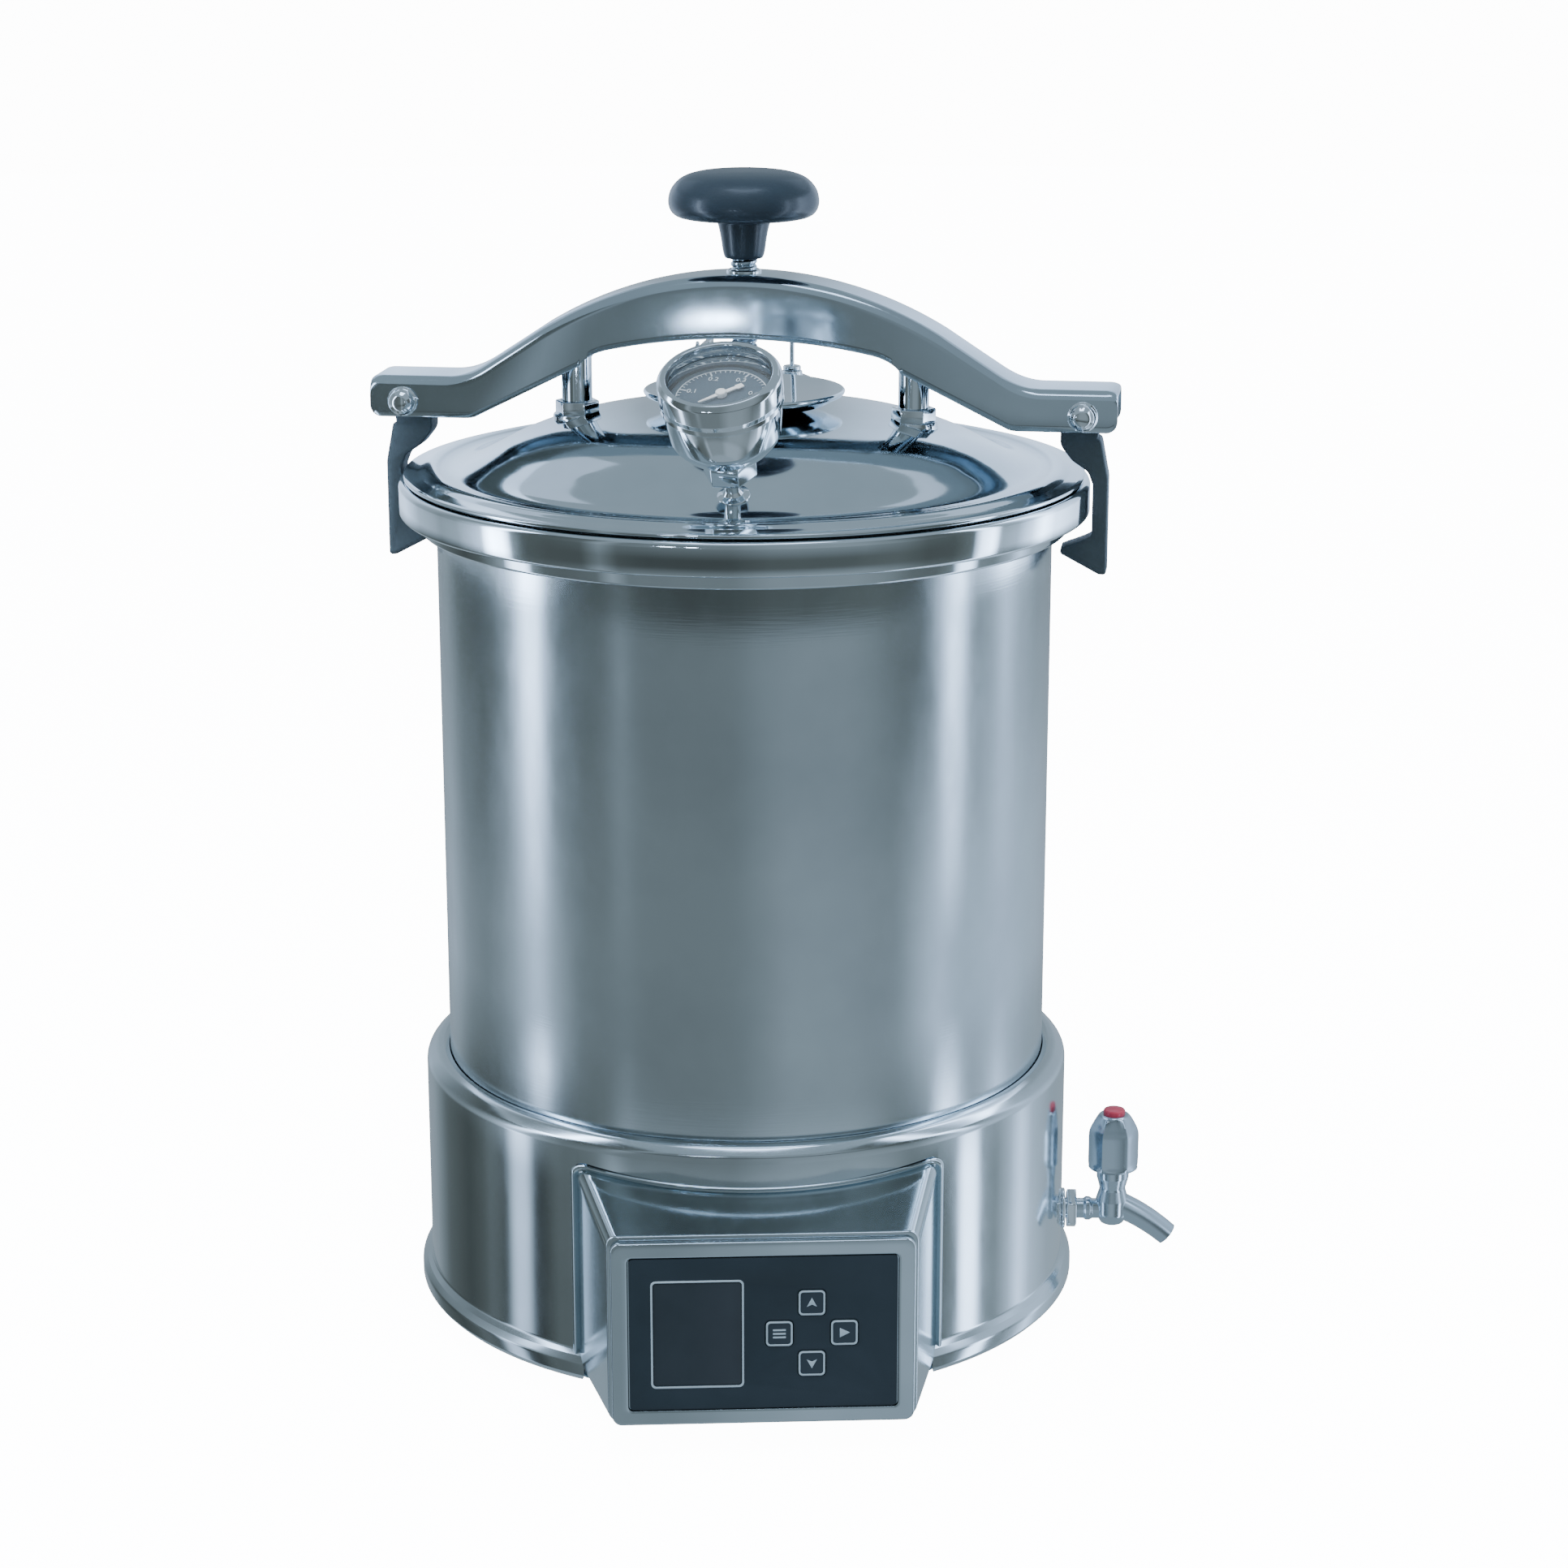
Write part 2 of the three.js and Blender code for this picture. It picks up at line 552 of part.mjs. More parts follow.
function addSafetyValve(group) {
  const [x, y] = SAFETY_VALVE;
  const low = lidOutsideAt(Math.hypot(x, y));
  const hex = rod(9, low - 8, low + 8, 6);
  const tube = rod(5, low, low + 10.4, 16);
  const bore = rod(1.6, low + 3, low + 40);
  const housing = cut(join(hex, tube).translate(x, y, 0), bore.translate(x, y, 0), underLid());
  add(group, 'safety_valve_body', housing, CHROME);
  const shaft = rod(1.1, low + 4, low + 32);
  const cap = rod(4.4, low + 10.4 + GAP, low + 12.6);
  const ring = new THREE.TorusGeometry(5.5, 1.1, 6, 14).rotateX(Math.PI / 2).translate(0, 0, low + 36.8);
  add(group, 'safety_valve_stem', join(shaft, cap, ring), CHROME).position.set(x, y, 0);
}

function addVentValve(group) {
  const [x, y] = VENT_VALVE;
  const low = lidOutsideAt(Math.hypot(x, y));
  const hex = rod(8, low - 8, low + 8, 6);
  const tube = rod(5.6, low, low + 17, 16);
  const outlet = pointingOut(rod(2.6, 0, 13)).translate(0, 0, low + 12).rotateZ(Math.PI / 2);
  const cheek = box([-3.4, 3.4], [-2.2, 2.2], [low + 16, low + 24]);
  const slot = box([-1.9, 1.9], [-6, 6], [low + 17.2, low + 30]);
  const pinHole = pointingOut(rod(1.4, -5, 5, 8)).translate(0, 0, low + 21);
  const housing = cut(join(hex, tube, outlet, cheek), slot, pinHole);
  add(group, 'vent_valve_body', cut(housing.translate(x, y, 0), underLid()), CHROME);
  const lever = join(
    box([-1.4, 1.4], [-2, 24], [low + 19.5, low + 23]),
    pointingOut(rod(1.1, -3.8, 3.8, 8)).translate(0, 0, low + 21),
  );
  add(group, 'vent_lever', lever, CHROME).position.set(x, y, 0);
}

// ---- bridge, hooks and screw ----
// The bridge's top edge from its right end to its left end, moved inwards by inset.
function traceBridgeTop(path, inset) {
  const archHalf = 92;
  const centreZ = ARCH_TOP - ARCH_R;
  const tilt = Math.asin(archHalf / ARCH_R);
  const slopeIn = [118 - inset * Math.sin(tilt), 441.6 - inset * Math.cos(tilt)];
  const flat = BRIDGE_END_TOP - inset;
  const right = [[137, flat], [127.5 - inset / 3, flat], slopeIn];
  path.lineTo(...right[0]);
  path.quadraticCurveTo(...right[1], ...right[2]);
  path.absarc(0, centreZ, ARCH_R - inset, Math.PI / 2 - tilt, Math.PI / 2 + tilt, false);
  path.lineTo(-slopeIn[0], slopeIn[1]);
  path.quadraticCurveTo(-right[1][0], flat, -right[0][0], flat);
}

function bridge() {
  const outer = new THREE.Shape();
  const corner = 5;
  outer.moveTo(BRIDGE_END_X, BRIDGE_END_TOP - corner);
  outer.quadraticCurveTo(BRIDGE_END_X, BRIDGE_END_TOP, BRIDGE_END_X - corner, BRIDGE_END_TOP);
  traceBridgeTop(outer, 0);
  outer.lineTo(-BRIDGE_END_X + corner, BRIDGE_END_TOP);
  outer.quadraticCurveTo(-BRIDGE_END_X, BRIDGE_END_TOP, -BRIDGE_END_X, BRIDGE_END_TOP - corner);
  outer.lineTo(-BRIDGE_END_X, BRIDGE_END_BOTTOM + corner);
  outer.quadraticCurveTo(-BRIDGE_END_X, BRIDGE_END_BOTTOM, -BRIDGE_END_X + corner, BRIDGE_END_BOTTOM);
  outer.lineTo(-124, BRIDGE_END_BOTTOM);
  outer.lineTo(-74, 441.5);
  outer.quadraticCurveTo(-70, 447.5, -60, 449.6);
  outer.quadraticCurveTo(0, 462.2, 60, 449.6);
  outer.quadraticCurveTo(70, 447.5, 74, 441.5);
  outer.lineTo(124, BRIDGE_END_BOTTOM);
  outer.lineTo(BRIDGE_END_X - corner, BRIDGE_END_BOTTOM);
  outer.quadraticCurveTo(BRIDGE_END_X, BRIDGE_END_BOTTOM, BRIDGE_END_X, BRIDGE_END_BOTTOM + corner);
  const inner = new THREE.Shape();
  const beyond = BRIDGE_END_X + 5;
  inner.moveTo(beyond, BRIDGE_END_TOP - BRIDGE_WALL);
  traceBridgeTop(inner, BRIDGE_WALL);
  inner.lineTo(-beyond, BRIDGE_END_TOP - BRIDGE_WALL);
  inner.lineTo(-beyond, 380);
  inner.lineTo(beyond, 380);
  const pinHoles = [-1, 1].map((side) => (
    facingFront(rod(PIN_R + GAP, -30, 30)).translate(side * PIN_X, 0, PIN_Z)
  ));
  return cut(
    standingPlate(outer, BRIDGE_W, 8),
    standingPlate(inner, BRIDGE_W - 2 * BRIDGE_WALL, 8),
    rod(8.4, 460, 500, 16),
    ...pinHoles,
  );
}

// A hook hanging from a pivot at +PIN_X, with its claw pointing to the axis.
function hook() {
  const shape = new THREE.Shape();
  const head = 8;
  shape.moveTo(PIN_X + head, PIN_Z);
  shape.lineTo(PIN_X + head + 0.4, 410);
  shape.lineTo(167.5, 394);
  shape.lineTo(167.5, 352);
  shape.quadraticCurveTo(167.3, 348.6, 164, 349.8);
  shape.lineTo(147.6, 358.4);
  shape.quadraticCurveTo(145.6, 360, 147, 361.8);
  shape.lineTo(156.4, 365.6);
  shape.quadraticCurveTo(160.4, 367, 160.5, 371);
  shape.lineTo(160.5, 392);
  shape.quadraticCurveTo(158, 397, 152.6, 401);
  shape.quadraticCurveTo(146.2, 405.4, 145.2, 412);
  shape.lineTo(145.6, 419);
  shape.lineTo(PIN_X - head, PIN_Z);
  shape.absarc(PIN_X, PIN_Z, head, Math.PI, 0, true);
  return cut(
    standingPlate(shape, HOOK_T),
    facingFront(rod(PIN_R + GAP, -30, 30)).translate(PIN_X, 0, PIN_Z),
  );
}

function addBridge(group) {
  add(group, 'bridge', bridge(), STEEL);
  const top = ARCH_TOP - BRIDGE_WALL;
  const bush = turned([
    [SPINDLE_R + GAP, 460], [12, 460], [12, top - 0.7], [8, top - 0.7], [8, ARCH_TOP + 0.8],
    [7, ARCH_TOP + 1.4], [SPINDLE_R + GAP, ARCH_TOP + 1.4],
  ]);
  add(group, 'screw_bush', bush, CHROME);
  const face = BRIDGE_W / 2;
  for (const [name, side] of [['left', -1], ['right', 1]]) {
    const pin = facingFront(turned([
      [0, -face - 3.6], [5.4, -face - 3.6], [6.4, -face - 2.4], [6.4, -face - GAP], [PIN_R, -face - GAP],
      [PIN_R, face], [0, face],
    ], 16));
    add(group, `hinge_pin_${name}`, pin, CHROME).position.set(side * PIN_X, 0, PIN_Z);
    const nut = facingFront(turned([
      [0, face + GAP], [6.8, face + GAP], [6.8, face + 2.6], [5.6, face + 5.2], [3.2, face + 7.2],
      [0, face + 8],
    ], 12));
    add(group, `acorn_nut_${name}`, nut, CHROME).position.set(side * PIN_X, 0, PIN_Z);
  }
  add(group, 'hook_right', hook(), DARK_STEEL);
  add(group, 'hook_left', hook(), DARK_STEEL).rotation.z = Math.PI;
}

function addScrew(group) {
  const spindle = turned([
    [0, 431.2], [4.5, 431.2], [SPINDLE_R, 433], [SPINDLE_R, 505], [0, 505],
  ], 16);
  add(group, 'spindle', spindle, STEEL);
  const socketR = SPINDLE_R + GAP;
  const knob = turned([
    [socketR, KNOB_BOTTOM], [7.6, KNOB_BOTTOM], [9.4, KNOB_BOTTOM + 2.6], [11.6, 506.5], [14, 509],
    [27, 508.6], [32, 510], [34.2, 514], [34, 518.5], [30.6, 524.6], [24, 528], [12, KNOB_TOP - 0.4],
    [0, KNOB_TOP], [0, 505.6], [socketR, 505.6],
  ]);
  add(group, 'knob', knob, KNOB_PLASTIC);
}

function addLid(group) {
  add(group, 'lid', lid(gaugeHole()), STEEL);
  add(group, 'press_disc', pressDisc(), STEEL);
  addPosts(group);
  addGauge(group);
  addSafetyValve(group);
  addVentValve(group);
}

// ---- the whole steriliser ----
const steriliser = new THREE.Group();
addBase(steriliser);
addVessel(steriliser);
addTap(steriliser);

const lidAssembly = new THREE.Group();
lidAssembly.rotation.z = rad(LID_TURN);
addLid(lidAssembly);
addBridge(lidAssembly);
addScrew(lidAssembly);
steriliser.add(lidAssembly);

export default steriliser;
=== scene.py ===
"""Looks of the portable electric steam steriliser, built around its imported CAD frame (metres)."""
import json
import math

import bmesh
import bpy
import numpy as np
from mathutils import Matrix, Vector


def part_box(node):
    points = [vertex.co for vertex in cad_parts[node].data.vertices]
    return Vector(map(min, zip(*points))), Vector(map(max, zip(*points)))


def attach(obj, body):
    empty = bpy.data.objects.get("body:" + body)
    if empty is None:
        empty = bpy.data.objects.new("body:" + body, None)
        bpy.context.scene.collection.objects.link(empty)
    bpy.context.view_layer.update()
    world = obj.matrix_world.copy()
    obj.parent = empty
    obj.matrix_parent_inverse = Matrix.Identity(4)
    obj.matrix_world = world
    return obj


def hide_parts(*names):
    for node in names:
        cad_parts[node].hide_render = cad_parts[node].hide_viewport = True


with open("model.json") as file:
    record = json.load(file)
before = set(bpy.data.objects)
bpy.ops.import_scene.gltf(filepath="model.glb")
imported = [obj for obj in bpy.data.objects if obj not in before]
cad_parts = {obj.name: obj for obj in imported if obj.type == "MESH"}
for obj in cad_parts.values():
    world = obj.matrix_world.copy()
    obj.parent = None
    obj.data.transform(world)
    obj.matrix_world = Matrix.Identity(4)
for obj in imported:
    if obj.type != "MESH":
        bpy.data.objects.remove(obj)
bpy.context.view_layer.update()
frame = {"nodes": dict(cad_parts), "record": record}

MM = 0.001
JOINTS = {j["name"]: j for j in frame["record"]["behaviour"]["joints"]}


# ---------------------------------------------------------------- frame places
def low(node):
    return Vector(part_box(node)[0])


def high(node):
    return Vector(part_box(node)[1])


def middle(node):
    return (low(node) + high(node)) / 2


hook_axis = Vector(JOINTS["left_hook_swing"]["axis"])
LID_TURN = math.atan2(-hook_axis.x, hook_axis.y)
LID = Matrix.Rotation(LID_TURN, 4, "Z")
TAP_AT = Vector(JOINTS["tap_turn"]["pos_m"])
TAP_TURN = math.atan2(TAP_AT.y, TAP_AT.x)
TAP_R = math.hypot(TAP_AT.x, TAP_AT.y)
PIN_AT = Vector(JOINTS["right_hook_swing"]["pos_m"])
PIN_X = math.hypot(PIN_AT.x, PIN_AT.y)
PIN_Z = PIN_AT.z
VESSEL_R = (high("vessel").x - low("vessel").x) / 2
RIM_R = (high("vessel_rim_ring").x - low("vessel_rim_ring").x) / 2
RIM_TOP = high("vessel_rim_ring").z
LIP_BOTTOM = low("vessel_rim_ring").z
SHELL_TOP = high("base_shell").z
PANEL_FRONT = low("panel_bezel").y
PANEL_LOW = low("panel_bezel").z
PANEL_HIGH = high("panel_bezel").z
PANEL_HALF = high("panel_bezel").x
LID_TOP = high("lid").z
DISC_TOP = high("press_disc").z
BRIDGE_TOP = high("bridge").z
KNOB_TOP = high("knob").z
KNOB_BOTTOM = low("knob").z


# ---------------------------------------------------------------- camera, light and stage
CAMERA_YAW = math.radians(-2.8)
CAMERA_PITCH = math.radians(15.62)
CAMERA_AT = (-0.060, -1.599, 0.6898)
CAMERA_LENS = 80.73
FLOOR_HALF = 6
BACKDROP_R = 5.5
BACKDROP_GLOW = 14.0


def make_camera():
    data = bpy.data.cameras.new("camera")
    data.lens = CAMERA_LENS
    data.sensor_width = 36
    cam = bpy.data.objects.new("camera", data)
    cam.location = CAMERA_AT
    cam.rotation_euler = (math.pi / 2 - CAMERA_PITCH, 0, CAMERA_YAW)
    bpy.context.scene.collection.objects.link(cam)
    bpy.context.scene.camera = cam


def area_light(name, place, target, size, power, colour=(1, 1, 1)):
    data = bpy.data.lights.new(name, "AREA")
    data.shape = "RECTANGLE"
    data.size, data.size_y = size
    data.energy = power
    data.color = colour
    light = bpy.data.objects.new(name, data)
    light.location = place
    light.rotation_euler = (Vector(target) - Vector(place)).to_track_quat("-Z", "Y").to_euler()
    light.visible_glossy = False
    bpy.context.scene.collection.objects.link(light)
    return light


def emission(name, colour, strength=1.0):
    mat = bpy.data.materials.new(name)
    mat.use_nodes = True
    nodes = mat.node_tree.nodes
    nodes.clear()
    out = nodes.new("ShaderNodeOutputMaterial")
    glow = nodes.new("ShaderNodeEmission")
    glow.inputs["Color"].default_value = (*colour, 1)
    glow.inputs["Strength"].default_value = strength
    mat.node_tree.links.new(glow.outputs[0], out.inputs["Surface"])
    return mat


def only_reflected(obj):
    obj.visible_camera = False
    obj.visible_diffuse = False
    obj.visible_transmission = False
    obj.visible_shadow = False


def glow_colour(level):
    """The tent's light is greener where it is dim and bluer where it is bright."""
    share = min(1.0, max(0.0, (math.log2(level) + 3) / 3.5))
    dim, bright = (0.84, 1.0, 1.01), (0.70, 0.88, 1.16)
    return [level * (d + (b - d) * share) for d, b in zip(dim, bright)]


def tent_material():
    mat = bpy.data.materials.new("tent_glow")
    mat.use_nodes = True
    nodes = mat.node_tree.nodes
    nodes.clear()
    colour = nodes.new("ShaderNodeVertexColor")
    colour.layer_name = "glow"
    glow = nodes.new("ShaderNodeEmission")
    out = nodes.new("ShaderNodeOutputMaterial")
    mat.node_tree.links.new(colour.outputs["Color"], glow.inputs["Color"])
    mat.node_tree.links.new(glow.outputs[0], out.inputs["Surface"])
    return mat


def tent_wall(name, radius, azimuths, heights, level):
    """An upright curved reflector seen only in reflections. Azimuth 0 is in front of the panel, in
    degrees; level(azimuth, z) is its brightness."""
    verts, faces, colours = [], [], []
    for azimuth in azimuths:
        angle = math.radians(azimuth)
        for z in heights:
            verts.append((radius * math.sin(angle), -radius * math.cos(angle), z))
            colours += [*glow_colour(level(azimuth, z)), 1]
    rows = len(heights)
    for i in range(len(azimuths) - 1):
        for k in range(rows - 1):
            a = i * rows + k
            faces.append((a, a + rows, a + rows + 1, a + 1))
    glow_mesh(name, verts, faces, colours)


def glow_mesh(name, verts, faces, colours):
    mesh = bpy.data.meshes.new(name)
    mesh.from_pydata(verts, [], faces)
    layer = mesh.color_attributes.new("glow", "FLOAT_COLOR", "POINT")
    layer.data.foreach_set("color", colours)
    mesh.materials.append(TENT_MATERIAL)
    obj = bpy.data.objects.new(name, mesh)
    bpy.context.scene.collection.objects.link(obj)
    only_reflected(obj)


# the light tent's stripes: azimuth in degrees, brightness high up and low down
TENT_R = 0.33
STRIPES = [
    (-180, 0.35, 0.50), (-150, 0.45, 0.50), (-127, 0.42, 0.70), (-112, 0.16, 0.38),
    (-97, 0.09, 0.28), (-88, 0.13, 0.38), (-82, 0.26, 0.50), (-77, 0.45, 0.80), (-73, 5.5, 1.30),
    (-69, 5.5, 1.15), (-66, 0.30, 0.62), (-61, 0.16, 0.40), (-54, 0.15, 0.22), (-44, 0.18, 0.23),
    (-39, 0.44, 0.28), (-34, 0.23, 0.23), (-6, 0.23, 0.23), (4, 0.33, 0.31), (10, 0.34, 0.39),
    (28, 0.34, 0.39), (37, 0.28, 0.35), (45, 0.17, 0.34), (53, 0.15, 0.72), (60, 0.24, 1.15),
    (63, 4.2, 1.00), (67, 4.2, 0.85), (70, 0.28, 0.80), (77, 0.28, 0.84), (84, 0.65, 0.92),
    (90, 1.60, 0.98), (97, 0.70, 0.92), (112, 0.45, 0.80), (135, 0.40, 0.60), (180, 0.35, 0.50),
]
# how far the stripes have their high (1) or low (0) brightness at each height
BLEND_HEIGHTS = [0.02, 0.08, 0.12, 0.29]
BLEND_SHARES = [1, 0, 0, 1]
# how much brighter the tent is at the height that the rim ring reflects, and above it, over azimuth
RING_ROW, TOP_ROW = 0.326, 0.38
EDGE_ANGLES = [25, 62, 78, 100, 180]
RING_GAIN = [0.34, 0.8, 3.5, 5.5, 2.0]
TOP_ANGLES = [25, 62, 78, 100, 130, 150, 163, 172]
TOP_GAIN = [1.05, 0.8, 2.4, 3.6, 2.8, 4.5, 3.0, 1.5]
# the same low down, for the base, where the left streak is weak
BASE_ANGLES = [-86, -79, -63, -57, -50, -30, 30, 50]
BASE_GAIN = [1, 0.25, 0.25, 1, 1, 1.5, 1.5, 1.2]
TENT_HEIGHTS = [-0.16, 0.0, 0.02, 0.05, 0.08, 0.12, 0.2, 0.29, 0.312, RING_ROW, 0.345, TOP_ROW, 0.62]


def stripe_level(azimuth, z):
    angles = [s[0] for s in STRIPES]
    high_up = np.interp(azimuth, angles, [s[1] for s in STRIPES])
    low_down = np.interp(azimuth, angles, [s[2] for s in STRIPES])
    level = low_down + (high_up - low_down) * np.interp(z, BLEND_HEIGHTS, BLEND_SHARES)
    if z >= TOP_ROW:
        level *= np.interp(abs(azimuth), TOP_ANGLES, TOP_GAIN)
    elif z >= RING_ROW:
        level *= np.interp(abs(azimuth), EDGE_ANGLES, RING_GAIN)
    elif z <= BLEND_HEIGHTS[0]:
        level *= np.interp(azimuth, BASE_ANGLES, BASE_GAIN)
    return float(level)


# small reflectors for single highlights: azimuth, width, bottom, top and brightness
HIGHLIGHTS = [
    ("bridge_glow_left", -21, 3.2, 0.423, 0.435, 30),
    ("bridge_glow_right", -15.2, 2.4, 0.422, 0.435, 34),
]
# softboxes high above: first and last azimuth, lowest and highest angle above the horizon, brightness
SKY_BANDS = [
    ("sky_right", 122, 160, 28, 44, 0.9),
    ("sky_left", 200, 238, 28, 44, 0.9),
    ("sky_front", -65, 65, 70, 79, 4.5),
]
SKY_R = 1.3


def sky_band(name, start, end, lowest, highest, level):
    """A softbox on a sphere round the lid, seen only in reflections."""
    verts, faces, colours = [], [], []
    steps = 24
    for i in range(steps + 1):
        azimuth = math.radians(start + (end - start) * i / steps)
        for rise in (lowest, highest):
            e = math.radians(rise)
            verts.append((SKY_R * math.cos(e) * math.sin(azimuth), -SKY_R * math.cos(e) * math.cos(azimuth),
                          LID_TOP + SKY_R * math.sin(e)))
            colours += [*glow_colour(level), 1]
        if i:
            faces.append((2 * i - 2, 2 * i, 2 * i + 1, 2 * i - 1))
    glow_mesh(name, verts, faces, colours)


TENT_MATERIAL = tent_material()


def make_stage():
    world = bpy.data.worlds.new("studio")
    bpy.context.scene.world = world
    world.use_nodes = True
    world.node_tree.nodes["Background"].inputs["Color"].default_value = (0.54, 0.68, 0.80, 1)
    world.node_tree.nodes["Background"].inputs["Strength"].default_value = 0.62

    mesh = bpy.data.meshes.new("floor")
    s = FLOOR_HALF
    mesh.from_pydata([(-s, -s, 0), (s, -s, 0), (s, s, 0), (-s, s, 0)], [], [(0, 1, 2, 3)])
    floor = bpy.data.objects.new("floor", mesh)
    floor.location.z = low("rubber_foot_1").z - 0.0005
    bpy.context.scene.collection.objects.link(floor)
    mat = bpy.data.materials.new("pale_floor")
    mat.use_nodes = True
    shader = mat.node_tree.nodes["Principled BSDF"]
    shader.inputs["Base Color"].default_value = (0.93, 0.94, 0.95, 1)
    shader.inputs["Roughness"].default_value = 0.75
    shader.inputs["Emission Color"].default_value = (0.97, 0.98, 1, 1)
    shader.inputs["Emission Strength"].default_value = BACKDROP_GLOW
    mesh.materials.append(mat)
    floor.visible_diffuse = floor.visible_glossy = False

    bpy.ops.mesh.primitive_uv_sphere_add(segments=64, ring_count=32, radius=BACKDROP_R)
    dome = bpy.context.object
    dome.name = "backdrop"
    dome.data.materials.append(emission("backdrop_white", (0.98, 0.99, 1), BACKDROP_GLOW))
    dome.visible_diffuse = dome.visible_glossy = False
    dome.visible_transmission = dome.visible_shadow = False

    tent_wall("light_tent", TENT_R + 0.02, list(range(-180, 181)), TENT_HEIGHTS, stripe_level)
    for name, azimuth, width, bottom, top, level in HIGHLIGHTS:
        angles = [azimuth - width / 2 + width * i / 8 for i in range(9)]
        tent_wall(name, TENT_R, angles, [bottom, top], lambda a, z, level=level: level)
    for band in SKY_BANDS:
        sky_band(*band)

    area_light("top_box", (-0.3, -0.5, 2.0), (0, 0, 0.3), (1.6, 1.2), 34, (0.95, 0.98, 1))
    area_light("left_box", (-1.7, -0.7, 1.1), (0, 0, 0.3), (0.7, 1.4), 15, (0.92, 0.97, 1))
    area_light("right_box", (1.8, -0.3, 1.0), (0, 0, 0.3), (0.7, 1.4), 12, (0.92, 0.97, 1))
    area_light("front_fill", (0.3, -2.2, 1.7), (0, 0, 0.25), (1.4, 0.8), 10)


make_camera()
make_stage()


# ---------------------------------------------------------------- materials
class Nodes:
    """A material's node tree with short ways to add nodes."""

    def __init__(self, name):
        self.mat = bpy.data.materials.new(name)
        self.mat.use_nodes = True
        self.tree = self.mat.node_tree
        self.shader = self.tree.nodes["Principled BSDF"]
        self.coords = self.tree.nodes.new("ShaderNodeTexCoord").outputs["Object"]

    def link(self, a, b):
        self.tree.links.new(a, b)

    def noise(self, scale, detail=3.0, roughness=0.55, stretch=(1, 1, 1)):
        mapping = self.tree.nodes.new("ShaderNodeMapping")
        mapping.inputs["Scale"].default_value = stretch
        self.link(self.coords, mapping.inputs["Vector"])
        tex = self.tree.nodes.new("ShaderNodeTexNoise")
        tex.inputs["Scale"].default_value = scale
        tex.inputs["Detail"].default_value = detail
        tex.inputs["Roughness"].default_value = roughness
        self.link(mapping.outputs[0], tex.inputs["Vector"])
        return tex.outputs["Fac"]

    def span(self, value, low_in, high_in, low_out, high_out):
        node = self.tree.nodes.new("ShaderNodeMapRange")
        for key, number in zip(
            ("From Min", "From Max", "To Min", "To Max"), (low_in, high_in, low_out, high_out)
        ):
            node.inputs[key].default_value = number
        self.link(value, node.inputs["Value"])
        return node.outputs["Result"]

    def blend(self, value, colour_a, colour_b):
        node = self.tree.nodes.new("ShaderNodeMix")
        node.data_type = "RGBA"
        node.inputs["A"].default_value = (*colour_a, 1)
        node.inputs["B"].default_value = (*colour_b, 1)
        self.link(value, node.inputs["Factor"])
        return node.outputs["Result"]

    def bump(self, height, strength, distance, onto=None):
        node = self.tree.nodes.new("ShaderNodeBump")
        node.inputs["Strength"].default_value = strength
        node.inputs["Distance"].default_value = distance
        self.link(height, node.inputs["Height"])
        if onto is not None:
            self.link(onto, node.inputs["Normal"])
        return node.outputs["Normal"]

    def set(self, **values):
        for key, value in values.items():
            self.shader.inputs[key.replace("_", " ")].default_value = value


def steel(name, tint, rough, wave=0.0, aniso=0.0, brush=0.0, smudge=0.08):
    """Polished sheet steel: handling marks in the gloss, slow waves in the sheet, fine brush lines."""
    m = Nodes(name)
    m.set(Metallic=1.0, IOR=2.6)
    cloudy = m.noise(9, 4, 0.6)
    fine = m.noise(60, 3, 0.6, (1, 1, 0.35))
    darker = tuple(0.86 * c for c in tint)
    m.link(m.blend(m.span(cloudy, 0.35, 0.65, 0, 1), darker, tint), m.shader.inputs["Base Color"])
    gloss = m.span(fine, 0.3, 0.75, rough, rough + smudge)
    m.link(gloss, m.shader.inputs["Roughness"])
    normal = None
    if wave:
        normal = m.bump(m.noise(5.5, 2, 0.5, (1, 1, 0.30)), wave, 0.02)
    if brush:
        normal = m.bump(m.noise(900, 2, 0.5, (0.04, 0.04, 1)), brush, 0.0002, normal)
    if normal is not None:
        m.link(normal, m.shader.inputs["Normal"])
    if aniso:
        tangent = m.tree.nodes.new("ShaderNodeTangent")
        tangent.direction_type = "RADIAL"
        tangent.axis = "Z"
        m.link(tangent.outputs[0], m.shader.inputs["Tangent"])
        m.set(Anisotropic=aniso)
    return m.mat


def dark_steel(name, tint, rough, metal=0.85):
    """Cast or stamped steel with a dull darkened skin, paler where it is worn."""
    m = Nodes(name)
    m.set(Metallic=metal)
    grain = m.noise(420, 4, 0.65)
    wear = m.noise(34, 5, 0.6)
    pale = tuple(min(1.0, 1.45 * c) for c in tint)
    m.link(m.blend(m.span(wear, 0.5, 0.8, 0, 0.8), tint, pale), m.shader.inputs["Base Color"])
    m.link(m.span(grain, 0.3, 0.7, rough - 0.06, rough + 0.10), m.shader.inputs["Roughness"])
    m.link(m.bump(grain, 0.25, 0.0003), m.shader.inputs["Normal"])
    return m.mat


def moulded(name, colour, rough, grain_size=900, grain=0.12, sheen=0.0, coat=0.0):
    """Moulded plastic or rubber: a fine skin texture and slightly uneven colour and gloss."""
    m = Nodes(name)
    skin = m.noise(grain_size, 3, 0.6)
    cloudy = m.noise(22, 4, 0.6)
    lighter = tuple(min(1.0, 1.25 * c + 0.004) for c in colour)
    m.link(m.blend(m.span(cloudy, 0.35, 0.7, 0, 1), colour, lighter), m.shader.inputs["Base Color"])
    m.link(m.span(cloudy, 0.3, 0.7, rough - 0.05, rough + 0.07), m.shader.inputs["Roughness"])
    m.link(m.bump(skin, grain, 0.0002), m.shader.inputs["Normal"])
    m.set(Sheen_Weight=sheen, Coat_Weight=coat)
    return m.mat


